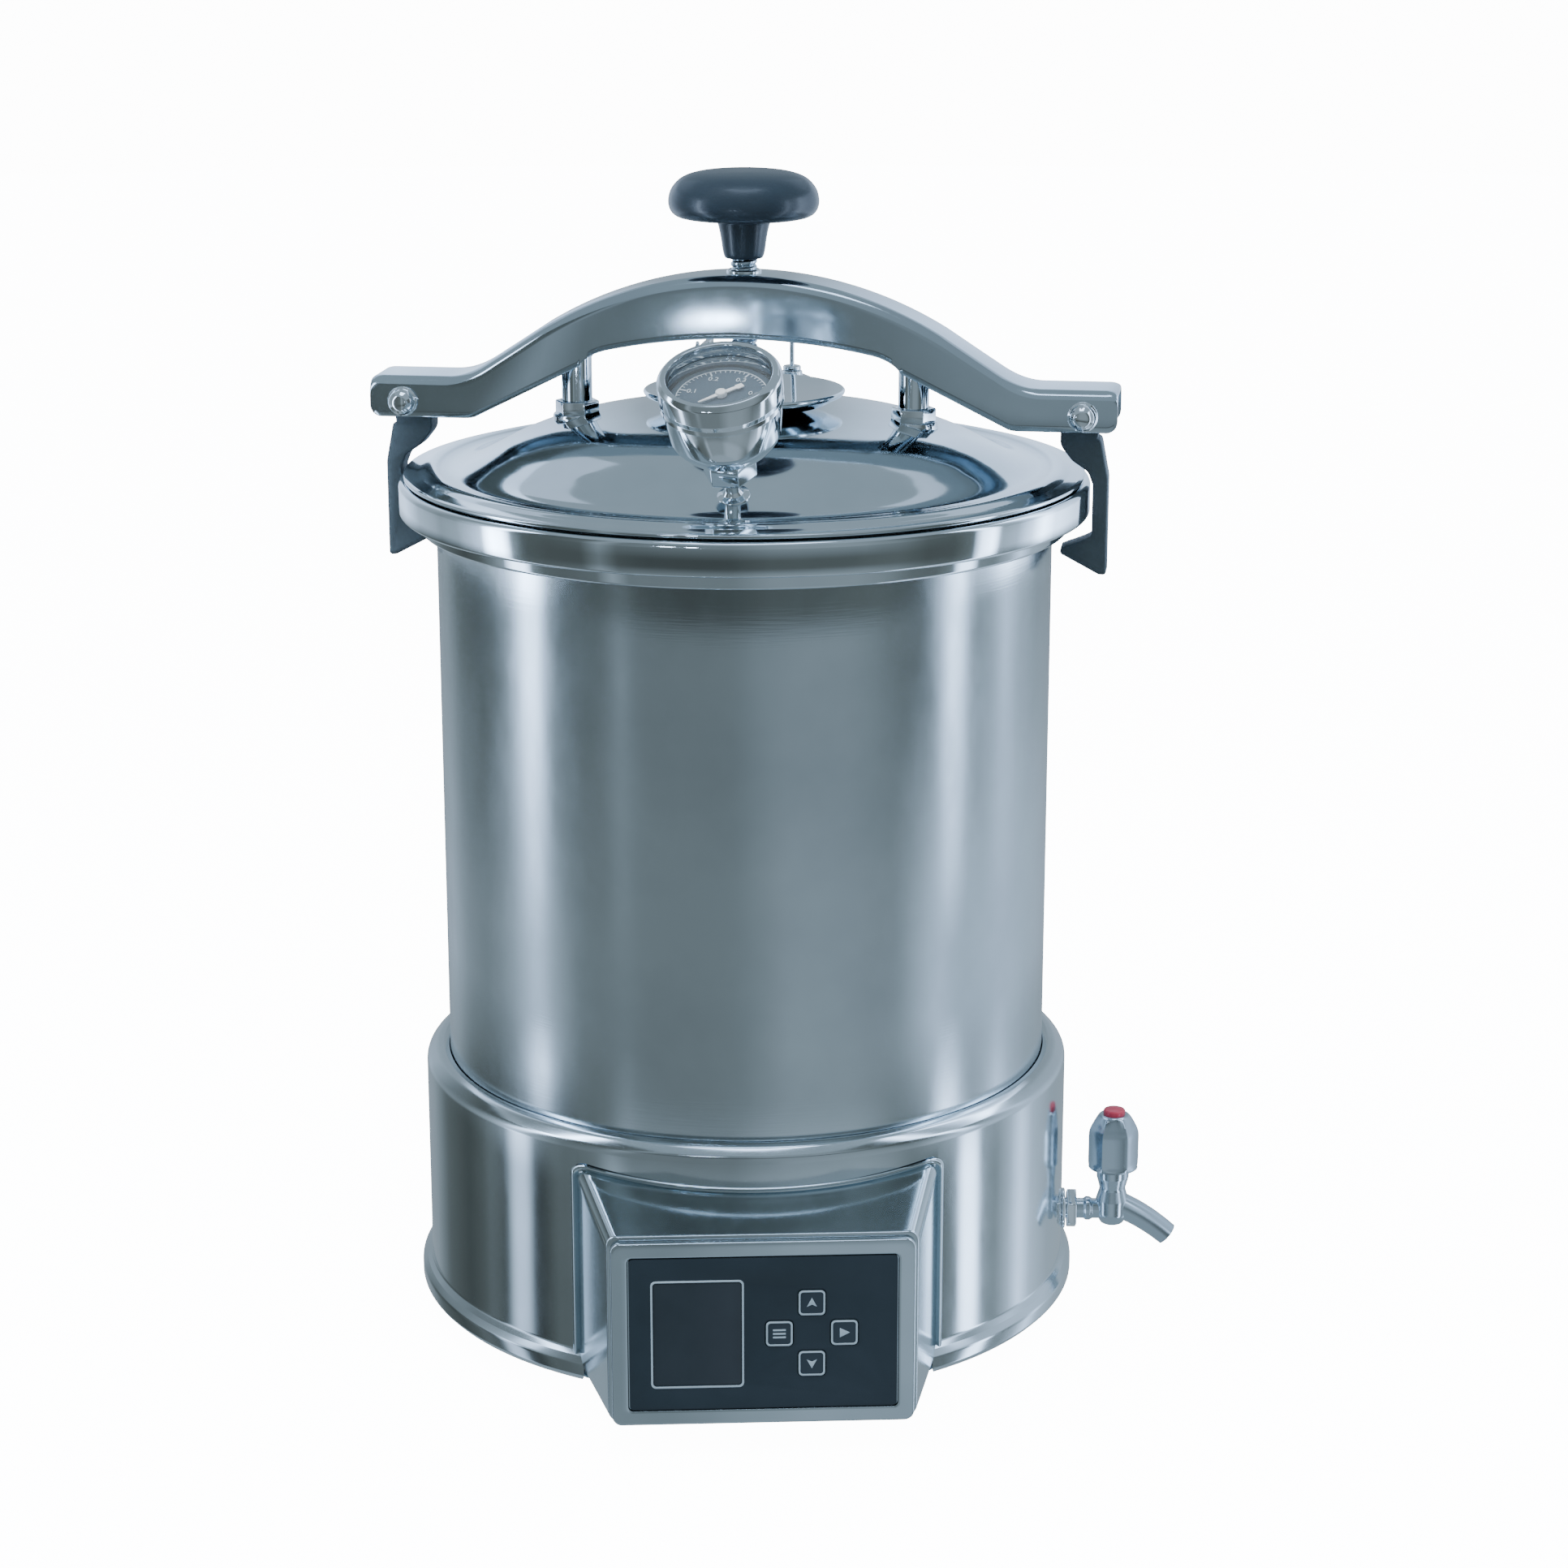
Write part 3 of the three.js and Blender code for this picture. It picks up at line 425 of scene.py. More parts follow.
def glass(name):
    m = Nodes(name)
    smear = m.noise(40, 3, 0.6)
    m.link(m.span(smear, 0.4, 0.7, 0.02, 0.07), m.shader.inputs["Roughness"])
    m.set(Base_Color=(0.8, 0.88, 0.92, 1), Alpha=0.05, IOR=1.45)
    return m.mat


STEEL_TINT = (0.70, 0.78, 0.83)
MATS = {
    "sheet": steel("vessel_steel", STEEL_TINT, 0.13, wave=0.07, aniso=0.85, brush=0.06, smudge=0.06),
    "mirror": steel("lid_steel", (0.72, 0.80, 0.85), 0.055, wave=0.05, smudge=0.05),
    "ring": steel("rim_steel", (0.76, 0.84, 0.89), 0.06, wave=0.10, smudge=0.04),
    "bridge": steel("bridge_steel", (0.60, 0.69, 0.75), 0.09, wave=0.10, smudge=0.06),
    "hood": steel("hood_steel", (0.66, 0.75, 0.80), 0.10, wave=0.04, smudge=0.05),
    "shell": steel("shell_steel", (0.72, 0.80, 0.85), 0.09, wave=0.10, aniso=0.35, smudge=0.06),
    "inner": steel("inner_steel", (0.60, 0.66, 0.69), 0.30, brush=0.2),
    "chrome": steel("chrome_plate", (0.80, 0.86, 0.90), 0.05, smudge=0.05),
    "dull_chrome": steel("dull_chrome", (0.56, 0.65, 0.72), 0.13, smudge=0.10),
    "hook": dark_steel("hook_steel", (0.070, 0.092, 0.105), 0.48, 0.5),
    "element": dark_steel("element_steel", (0.16, 0.17, 0.18), 0.38),
    "knob": moulded("knob_plastic", (0.014, 0.025, 0.039), 0.33, 700, 0.10, coat=0.12),
    "film": moulded("membrane_film", (0.017, 0.029, 0.041), 0.42, 1400, 0.10),
    "key": moulded("key_film", (0.022, 0.036, 0.050), 0.36, 1400, 0.10),
    "legend": moulded("legend_print", (0.42, 0.52, 0.60), 0.50, 1400, 0.05),
    "window": moulded("display_glass", (0.013, 0.022, 0.031), 0.10, 1400, 0.02, coat=0.5),
    "dial": moulded("dial_face", (0.040, 0.068, 0.10), 0.55, 1200, 0.08),
    "print": moulded("dial_print", (0.55, 0.62, 0.68), 0.6, 1200, 0.05),
    "needle": moulded("needle_paint", (0.86, 0.88, 0.90), 0.35, 1200, 0.05),
    "rubber": moulded("foot_rubber", (0.022, 0.023, 0.025), 0.75, 500, 0.35, sheen=0.2),
    "silicone": moulded("gasket_silicone", (0.62, 0.62, 0.58), 0.5, 500, 0.10),
    "red": moulded("red_cap", (0.50, 0.035, 0.075), 0.32, 900, 0.06, coat=0.3),
    "board": moulded("board_green", (0.02, 0.13, 0.06), 0.45, 800, 0.2),
    "black": moulded("black_plastic", (0.018, 0.018, 0.020), 0.5, 700, 0.2),
    "glass": glass("gauge_glass"),
}


# ---------------------------------------------------------------- mesh tools
def link_mesh(name, verts, faces, mat, sharp=38):
    mesh = bpy.data.meshes.new(name)
    mesh.from_pydata([tuple(v) for v in verts], [], faces)
    mesh.validate()
    obj = bpy.data.objects.new(name, mesh)
    bpy.context.scene.collection.objects.link(obj)
    return dress(obj, mat, sharp)


def dress(obj, mat, sharp=38):
    mesh = obj.data
    mesh.materials.clear()
    mesh.materials.append(MATS[mat])
    mesh.shade_smooth()
    mesh.set_sharp_from_angle(angle=math.radians(sharp))
    return obj


def settle(obj, body, nodes=()):
    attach(obj, body)
    if nodes:
        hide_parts(*nodes)
    return obj


def arc(centre, radius, start, end, steps):
    """Points on an arc in a plane, angles in degrees."""
    out = []
    for i in range(steps + 1):
        a = math.radians(start + (end - start) * i / steps)
        out.append((centre[0] + radius * math.cos(a), centre[1] + radius * math.sin(a)))
    return out


def fillet(points, closed=True, steps=5):
    """A polyline with its corners rounded: a third number on a point is its corner radius."""
    out = []
    n = len(points)
    for i, point in enumerate(points):
        p = Vector(point[:2])
        radius = point[2] if len(point) > 2 else 0
        if radius <= 0 or (not closed and i in (0, n - 1)):
            out.append(tuple(p))
            continue
        a = Vector(points[i - 1][:2]) - p
        b = Vector(points[(i + 1) % n][:2]) - p
        half = a.angle(b) / 2
        if half > math.radians(87):
            out.append(tuple(p))
            continue
        reach = min(radius / math.tan(half), 0.45 * a.length, 0.45 * b.length)
        radius = reach * math.tan(half)
        centre = p + (a.normalized() + b.normalized()).normalized() * (radius / math.sin(half))
        start, end = p + a.normalized() * reach - centre, p + b.normalized() * reach - centre
        swing = start.angle_signed(end)
        for k in range(steps + 1):
            turn = Matrix.Rotation(-swing * k / steps, 2)
            out.append(tuple(centre + turn @ start))
    return out


def rounded_rect(x, z, width, height, radius, steps=5):
    w, h = width / 2, height / 2
    return fillet([(x - w, z - h, radius), (x + w, z - h, radius), (x + w, z + h, radius),
                   (x - w, z + h, radius)], True, steps)


def smooth_curve(points, steps=6):
    """A Catmull-Rom curve through the points."""
    pts = [Vector(p[:2]) for p in points]
    pts = [2 * pts[0] - pts[1], *pts, 2 * pts[-1] - pts[-2]]
    out = []
    for i in range(1, len(pts) - 2):
        a, b, c, d = pts[i - 1:i + 3]
        for k in range(steps):
            t = k / steps
            p = 0.5 * (2 * b + (c - a) * t + (2 * a - 5 * b + 4 * c - d) * t * t
                       + (3 * b - a - 3 * c + d) * t ** 3)
            out.append(tuple(p))
    out.append(tuple(pts[-2]))
    return out


def turned(name, profile, mat, matrix=Matrix(), segments=128, closed=False, shape=None, sharp=38):
    """A solid of revolution about Z from millimetre [radius, height] pairs. Closed joins the profile's
    ends. shape(angle, z) scales the radius, for flutes."""
    verts, faces, rings = [], [], []
    for r, z in profile:
        if r < 1e-4:
            rings.append([len(verts)])
            verts.append(matrix @ Vector((0, 0, z * MM)))
            continue
        ring = []
        for i in range(segments):
            a = 2 * math.pi * i / segments
            k = shape(a, z) if shape else 1.0
            ring.append(len(verts))
            verts.append(matrix @ Vector((r * k * MM * math.cos(a), r * k * MM * math.sin(a), z * MM)))
        rings.append(ring)
    pairs = list(zip(rings, rings[1:]))
    if closed:
        pairs.append((rings[-1], rings[0]))
    for a, b in pairs:
        for i in range(segments):
            j = (i + 1) % segments
            if len(a) == 1 and len(b) == 1:
                break
            if len(a) == 1:
                faces.append((a[0], b[j], b[i]))
            elif len(b) == 1:
                faces.append((a[i], a[j], b[0]))
            else:
                faces.append((a[i], a[j], b[j], b[i]))
    obj = link_mesh(name, verts, faces, mat, sharp)
    outward(obj)
    return obj


def outward(obj):
    """Turns the faces of a closed mesh to point out."""
    bm = bmesh.new()
    bm.from_mesh(obj.data)
    bmesh.ops.recalc_face_normals(bm, faces=bm.faces)
    bm.to_mesh(obj.data)
    bm.free()


def loft(name, rings, mat, cap_start=False, cap_end=False, sharp=38):
    """Skins closed rings of points, all of one length."""
    n = len(rings[0])
    verts = [p for ring in rings for p in ring]
    faces = []
    for k in range(len(rings) - 1):
        for i in range(n):
            j = (i + 1) % n
            faces.append((k * n + i, k * n + j, (k + 1) * n + j, (k + 1) * n + i))
    if cap_start:
        faces.append(tuple(range(n)))
    if cap_end:
        faces.append(tuple(range((len(rings) - 1) * n, len(rings) * n)))
    obj = link_mesh(name, verts, faces, mat, sharp)
    outward(obj)
    return obj


def plate(name, outlines, thickness, mat, matrix=Matrix(), bevel=0.0, sharp=38):
    """A flat plate from millimetre outlines, the first its rim and the rest its holes, centred on its
    own thickness in the plane of the matrix's X and Y."""
    curve = bpy.data.curves.new(name, "CURVE")
    curve.dimensions = "2D"
    curve.fill_mode = "BOTH"
    curve.extrude = (thickness / 2 - bevel) * MM
    curve.bevel_depth = bevel * MM
    curve.bevel_resolution = 2
    curve.offset = -bevel * MM
    for outline in outlines:
        spline = curve.splines.new("POLY")
        spline.points.add(len(outline) - 1)
        for point, (x, y) in zip(spline.points, outline):
            point.co = (x * MM, y * MM, 0, 1)
        spline.use_cyclic_u = True
    source = bpy.data.objects.new(name + "_outline", curve)
    bpy.context.scene.collection.objects.link(source)
    bpy.context.view_layer.update()
    graph = bpy.context.evaluated_depsgraph_get()
    mesh = bpy.data.meshes.new_from_object(source.evaluated_get(graph), depsgraph=graph)
    bpy.data.objects.remove(source)
    mesh.transform(matrix)
    mesh.name = name
    obj = bpy.data.objects.new(name, mesh)
    bpy.context.scene.collection.objects.link(obj)
    weld(obj)
    return dress(obj, mat, sharp)


def weld(obj, distance=2e-6):
    bm = bmesh.new()
    bm.from_mesh(obj.data)
    bmesh.ops.remove_doubles(bm, verts=bm.verts, dist=distance)
    bmesh.ops.recalc_face_normals(bm, faces=bm.faces)
    bm.to_mesh(obj.data)
    bm.free()


def tube(name, points, radius, mat, matrix=Matrix(), sides=16, closed=False):
    """A round tube along millimetre points; radius may be a list, one for each point."""
    pts = [Vector(p) for p in points]
    radii = radius if isinstance(radius, list) else [radius] * len(pts)
    rings = []
    side = None
    for i, p in enumerate(pts):
        ahead = pts[(i + 1) % len(pts)] if closed or i < len(pts) - 1 else p
        behind = pts[i - 1] if closed or i > 0 else p
        along = (ahead - behind).normalized()
        if side is None:
            side = along.orthogonal().normalized()
        side = (side - along * side.dot(along)).normalized()
        other = along.cross(side)
        ring = []
        for k in range(sides):
            a = 2 * math.pi * k / sides
            ring.append(matrix @ ((p + (side * math.cos(a) + other * math.sin(a)) * radii[i]) * MM))
        rings.append(ring)
    if closed:
        rings.append(rings[0])
        obj = loft(name, rings, mat)
        weld(obj)
        return obj
    return loft(name, rings, mat, True, True)


def lathe(name, points, mat, at, segments, body, nodes=(), closed=False, steps=4):
    """A turned piece with rounded corners, settled on its body."""
    obj = turned(name, fillet(points, closed, steps), mat, at, segments, closed)
    return settle(obj, body, nodes)


def raised(z):
    return Matrix.Translation((0, 0, z * MM))


def hex_outline(across_flats, bore=0):
    corner = across_flats / math.sqrt(3)
    rim = fillet([(*p, 0.8) for p in arc((0, 0), corner, 0, 300, 5)], True, 3)
    return [rim] + ([arc((0, 0), bore, 0, 350, 35)] if bore else [])


def lying_front(x, z):
    """Puts a piece made about Z in place with its +Z end pointing to the lid's front."""
    return LID @ Matrix.Translation((x * MM, 0, z * MM)) @ Matrix.Rotation(math.pi / 2, 4, "X")


def upright(outline_y=0.0):
    """The plane of X and Z at that Y, for a plate: its X stays X and its Y becomes Z."""
    return Matrix.Translation((0, outline_y * MM, 0)) @ Matrix.Rotation(math.pi / 2, 4, "X")


# ---------------------------------------------------------------- base
mm = 1 / MM
INLET_Z = (low("power_inlet").z + high("power_inlet").z) / 2 * mm
INLET_T = 3.0
SOCKET_BACK = 138.0
SOCKET_W = 24.2
SOCKET_OUTER_W = 26.6
SOCKET_FLATTER = 7.4     # the socket is this much lower than it is wide
SOCKET_CORNER = 3.4
PIN_LENGTH = 12.0
HOOD_TAPER_X = 0.242
HOOD_TAPER_Z = 0.207
SHELL_R = 153.2


def hood_point(a, b, y, grow=0.0):
    """A point of the hood's skin at depth y: a and b run from -1 to 1 across and up (millimetres)."""
    deep = y - PANEL_FRONT * mm
    half = PANEL_HALF * mm + HOOD_TAPER_X * deep + grow
    top = PANEL_HIGH * mm + HOOD_TAPER_Z * deep + grow
    bottom = PANEL_LOW * mm - grow
    return Vector((a * half, y, bottom + (b + 1) / 2 * (top - bottom)))


def depth_on_shell(a, b, outside=0.0):
    """Where the hood's skin line meets the shell."""
    y = -130.0
    for _ in range(12):
        x = hood_point(a, b, y).x
        y = -math.sqrt(max((SHELL_R + outside) ** 2 - x * x, 1))
    return y


def densify(outline, longest):
    """Adds points so that no stretch of a closed outline is longer than that."""
    out = []
    for i, p in enumerate(outline):
        q = outline[(i + 1) % len(outline)]
        steps = max(1, math.ceil(math.dist(p, q) / longest))
        for k in range(steps):
            out.append((p[0] + (q[0] - p[0]) * k / steps, p[1] + (q[1] - p[1]) * k / steps))
    return out


def make_hood():
    half, tall = PANEL_HALF * mm, (PANEL_HIGH - PANEL_LOW) * mm / 2
    outline = densify(rounded_rect(0, 0, 2 * half, 2 * tall, 4.5, 6), 3.0)
    parts = [(x / half, z / tall) for x, z in outline]
    front = PANEL_FRONT * mm + 5.2

    def ring(depth, grow=0.0):
        return [hood_point(a, b, depth(a, b), grow) * MM for a, b in parts]

    rings = [ring(lambda a, b: front + 2, -1.5), ring(lambda a, b: front, -1.5),
             ring(lambda a, b: front, -0.5), ring(lambda a, b: front + 0.6, 0)]
    for share in (0.04, 0.3, 0.6, 0.9, 0.97):
        rings.append(ring(lambda a, b, s=share: front + s * (depth_on_shell(a, b, 3) - front)))
    for outside, grow in ((1.4, 0.2), (0.3, 0.4), (0.1, 1.1), (0.9, 1.4), (1.1, 2.0), (0.7, 2.5), (-0.3, 2.6)):
        rings.append(ring(lambda a, b, o=outside: depth_on_shell(a, b, o), grow))
    hood = loft("control_hood", rings, "hood", sharp=50)
    settle(hood, "base", ["control_box"])


def make_shell():
    inner = SHELL_R - 1.5
    top = SHELL_TOP * mm
    profile = fillet([
        (VESSEL_R * mm + 0.45, top - 0.4, 0.3), (VESSEL_R * mm + 3, top + 0.2, 1.5), (148, top - 0.6, 6),
        (SHELL_R, top - 5, 5), (SHELL_R, 14, 2), (155.6, 11.8, 1.5), (157.9, 9, 2.5), (157.9, 3, 2.5),
        (155, 0.1, 2), (138, 0, 0.5), (138, 1.4, 0.3), (151.6, 1.5, 2), (155.4, 3, 2), (155.4, 8.4, 2),
        (inner, 13, 2), (inner, top - 7, 4), (147, top - 1.7, 3), (VESSEL_R * mm + 0.45, top - 1.6, 0.3),
    ], True, 5)
    shell = turned("base_skin", profile, "shell", segments=180, closed=True)
    corners = []
    for y in (-215.0, -118.0):
        for a, b in ((-1, -1), (1, -1), (1, 1), (-1, 1)):
            point = hood_point(a, b, y, -0.4)
            point.z = -8 if b < 0 else point.z
            corners.append(point * MM)
    carve(shell, block("doorway", corners))
    hole = rounded_rect(0, INLET_Z, 49, 23.4, 1.5)
    ends = [[Vector((x, y, z)) * MM for x, z in hole] for y in (140, 165)]
    carve(shell, loft("inlet_hole", ends, "shell", True, True))
    dress(shell, "shell", 40)
    settle(shell, "base", ["base_shell"])


def block(name, corners):
    """A six-sided block from its near and far rectangles."""
    faces = [(0, 1, 2, 3), (7, 6, 5, 4), (0, 4, 5, 1), (1, 5, 6, 2), (2, 6, 7, 3), (3, 7, 4, 0)]
    obj = link_mesh(name, corners, faces, "shell")
    outward(obj)
    return obj


def make_inlet():
    """The mains inlet at the back: flange, socket, its three pins and two screws."""
    face = high("power_inlet").y * mm
    width = 2 * high("power_inlet").x * mm
    height = (high("power_inlet").z - low("power_inlet").z) * mm

    def opening(across):
        return rounded_rect(0, INLET_Z, across, across - SOCKET_FLATTER, SOCKET_CORNER)

    flange = plate("inlet_flange", [rounded_rect(0, INLET_Z, width, height, 2.5), opening(SOCKET_W)],
                   INLET_T, "black", upright(face - INLET_T / 2), 0.45)
    settle(flange, "base", ["power_inlet"])
    for name, across, back in (("inlet_walls", SOCKET_OUTER_W, SOCKET_BACK),
                               ("inlet_socket", SOCKET_W, SOCKET_BACK + 2)):
        ends = [[Vector((x, y, z)) * MM for x, z in opening(across)] for y in (back, face - INLET_T)]
        settle(loft(name, ends, "black"), "base", ())
    floor = plate("inlet_floor", [opening(SOCKET_OUTER_W)], 2.0, "black", upright(SOCKET_BACK + 1), 0.3)
    settle(floor, "base", ())
    for i, (x, z) in enumerate(((-6, -1.6), (0, 2.6), (6, -1.6))):
        pin = plate(f"inlet_pin_{i + 1}", [rounded_rect(x, INLET_Z + z, 1.8, 4.6, 0.6)], PIN_LENGTH,
                    "chrome", upright(SOCKET_BACK + 2 + PIN_LENGTH / 2), 0.3)
        settle(pin, "base", ())
    for i, x in enumerate((-20, 20)):
        at = Matrix.Translation((x * MM, face * MM, INLET_Z * MM)) @ Matrix.Rotation(-math.pi / 2, 4, "X")
        lathe(f"inlet_screw_{i + 1}", [
            (0, -1.6), (1.5, -1.6), (3.1, -0.1), (2.9, 0.5, 0.4), (1.2, 0.7), (1.1, -0.3), (0, -0.3),
        ], "chrome", at, 32, "base", steps=3)


def carve(obj, tool):
    """Cuts the tool out of the piece and takes the tool away."""
    cut = obj.modifiers.new("cut", "BOOLEAN")
    cut.operation = "DIFFERENCE"
    cut.solver = "EXACT"
    cut.object = tool
    graph = bpy.context.evaluated_depsgraph_get()
    mesh = bpy.data.meshes.new_from_object(obj.evaluated_get(graph), depsgraph=graph)
    obj.modifiers.clear()
    obj.data = mesh
    bpy.data.objects.remove(tool)


def make_feet():
    for i in range(1, 5):
        node = f"rubber_foot_{i}"
        centre, bottom = middle(node), low(node).z * mm
        profile = fillet([(0, bottom), (5.6, bottom, 0.8), (6.4, -0.5, 0.4), (0, -0.3)], False, 4)
        foot = turned(f"foot_{i}", profile, "rubber", Matrix.Translation((centre.x, centre.y, 0)), 48)
        settle(foot, "base", [node])


def make_bezel():
    z = (PANEL_LOW + PANEL_HIGH) / 2 * mm
    w, h = 2 * PANEL_HALF * mm, (PANEL_HIGH - PANEL_LOW) * mm
    iw, ih = 117.8, 71.8
    front = PANEL_FRONT * mm
    loops = [
        (w - 2, h - 2, 3.5, front + 4.9), (w, h, 4.5, front + 3.6), (w, h, 4.5, front + 1.8),
        (w - 0.5, h - 0.5, 4.3, front + 0.7), (w - 1.9, h - 1.9, 3.6, front + 0.05),
        (w - 3, h - 3, 3.2, front), (iw + 2.4, ih + 2.4, 2.6, front), (iw + 0.8, ih + 0.8, 2.2, front + 0.25),
        (iw, ih, 2, front + 0.9), (iw, ih, 2, front + 1.8), (iw - 8, ih - 8, 1.5, front + 1.8),
    ]
    rings = []
    for width, height, radius, y in loops:
        outline = rounded_rect(0, z, width, height, radius, 6)
        rings.append([Vector((px, y, pz)) * MM for px, pz in outline])
    bezel = loft("bezel_frame", rings, "hood", False, False, 50)
    settle(bezel, "base", ["panel_bezel"])


SYMBOLS = {
    "key_up": [[(-2.2, -1.8), (0, -0.8), (2.2, -1.8), (0, 2.4)]],
    "key_down": [[(-2.2, 1.8), (0, 0.8), (2.2, 1.8), (0, -2.4)]],
    "key_left": [[(-2.8, y), (2.8, y), (2.8, y + 0.8), (-2.8, y + 0.8)] for y in (-2.1, -0.4, 1.3)],
    "key_right": [[(-2.0, -2.2), (2.4, 0), (-2.0, 2.2)]],
}


def make_panel():
    front = PANEL_FRONT * mm
    z = (PANEL_LOW + PANEL_HIGH) / 2 * mm
    window = middle("display_window") * mm
    holes = [rounded_rect(window.x, window.z, 38.4, 48.4, 1.6)]
    places = {name: middle(name) * mm for name in SYMBOLS}
    for p in places.values():
        holes.append(rounded_rect(p.x, p.z, 12.5, 12.5, 2.2))
    film = plate("panel_film", [rounded_rect(0, z, 117, 71, 1.8), *holes], 1.0, "film",
                 upright(front + 0.95), 0.12)
    settle(film, "base", ["membrane_panel"])
    screen = plate("display_screen", [rounded_rect(window.x, window.z, 38.2, 48.2, 1.4)], 0.8, "window",
                   upright(front + 1.05), 0.1)
    settle(screen, "base", ["display_window"])
    outline = [rounded_rect(window.x, window.z, 40.6, 50.6, 2.2),
               rounded_rect(window.x, window.z, 38.9, 48.9, 1.6)]
    border = plate("display_border", outline, 0.3, "legend", upright(front + 0.38), 0.06)
    settle(border, "base", ())
    for name, p in places.items():
        body = name.replace("key_", "") + "_key"
        cap = plate(name + "_cap", [rounded_rect(p.x, p.z, 11.9, 11.9, 2.0)], 1.0, "key",
                    upright(front + 0.62), 0.35)
        settle(cap, body, [name])
        edge = [rounded_rect(p.x, p.z, 11.6, 11.6, 1.9), rounded_rect(p.x, p.z, 10.0, 10.0, 1.3)]
        rim = plate(name + "_rim", edge, 0.24, "legend", upright(front + 0.06), 0.05)
        settle(rim, body, ())
        for i, shape in enumerate(SYMBOLS[name]):
            moved = [(p.x + sx, p.z + sz) for sx, sz in shape]
            mark = plate(f"{name}_mark_{i + 1}", [moved], 0.2, "legend", upright(front + 0.06), 0.03)
            settle(mark, body, ())


# ---------------------------------------------------------------- vessel
def make_vessel():
    r = VESSEL_R * mm
    z0, top = low("vessel").z * mm, high("vessel").z * mm
    profile = fillet([
        (0, z0), (133, z0, 8), (r, z0 + 5, 9), (r, top, 0.3), (r - 2, top, 0.3), (r - 2, z0 + 7, 8),
        (132, z0 + 2, 8), (0, z0 + 2),
    ], False, 8)
    wall = turned("vessel_wall", profile, "sheet", segments=220)
    settle(wall, "base", ["vessel"])
    seam_z = (SHELL_TOP * mm + 1, LIP_BOTTOM * mm - 0.5)
    bead = ((-1.6, -0.2), (-0.9, 0.16), (0, 0.28), (0.9, 0.16), (1.6, -0.2))
    rings = [[Vector((x, r + bulge, z)) * MM for x, bulge in bead] for z in np.linspace(*seam_z, 40)]
    seam = loft("vessel_seam", rings, "inner", True, True)
    settle(seam, "base", ())
    ring_profile = fillet([
        (r + 0.3, LIP_BOTTOM * mm, 0.2), (149.8, LIP_BOTTOM * mm, 1.4), (150, 375.2, 1.0), (151.6, 376, 0.8),
        (RIM_R * mm, 376, 1.6), (RIM_R * mm, RIM_TOP * mm - 0.1, 3.0), (151, RIM_TOP * mm, 0.2),
        (151, RIM_TOP * mm - 3, 0.2), (145, RIM_TOP * mm - 3, 0.2), (145, RIM_TOP * mm, 0.2),
        (r + 0.3, RIM_TOP * mm, 0.2),
    ], True, 7)
    ring = turned("rim_ring", ring_profile, "ring", segments=220, closed=True)
    settle(ring, "base", ["vessel_rim_ring"])
    g0, g1 = low("lid_gasket").z * mm, high("lid_gasket").z * mm
    section = fillet([(145.4, g0, 0.6), (150.6, g0, 0.6), (150.6, g1, 1.2), (145.4, g1, 1.2)], True, 4)
    gasket = turned("gasket_ring", section, "silicone", segments=160, closed=True)
    settle(gasket, "base", ["lid_gasket"])


def make_inside():
    element_r, z = 95, 52
    start = math.radians(18)
    path = []
    for side in (1, -1):
        angle = side * math.radians(9)
        x, y = element_r * math.cos(angle), element_r * math.sin(angle)
        leg = [(x, y, 28), (x, y, 40), (x, y, 46)]
        path.append(leg if side == 1 else leg[::-1])
    round_part = []
    for i in range(73):
        angle = start + (2 * math.pi - 2 * start) * i / 72
        round_part.append((element_r * math.cos(angle), element_r * math.sin(angle), z))
    coil = tube("heater_tube", path[0] + round_part + path[1], 4.3, "element", sides=14)
    settle(coil, "base", ["heating_element"])
    holes = []
    for count, radius, size in ((1, 0, 12), (5, 50, 14), (10, 98, 14)):
        for i in range(count):
            a = 2 * math.pi * i / count
            holes.append(arc((radius * math.cos(a), radius * math.sin(a)), size, 0, 345, 23))
    rim = arc((0, 0), 134.5, 0, 358, 179)
    tray = plate("trivet_plate", [rim, *holes], 2.0, "inner", Matrix.Translation((0, 0, 73 * MM)), 0.4)
    settle(tray, "base", ["trivet"])
    for i in range(3):
        a = math.radians(120 * i + 60)
        place = Matrix.Translation((0.123 * math.cos(a), 0.123 * math.sin(a), 0))
        lathe(f"trivet_leg_{i + 1}", [(0, 42.4), (4, 42.4, 1), (4, 72, 0), (0, 72)], "inner", place, 24,
              "base", (), steps=5)


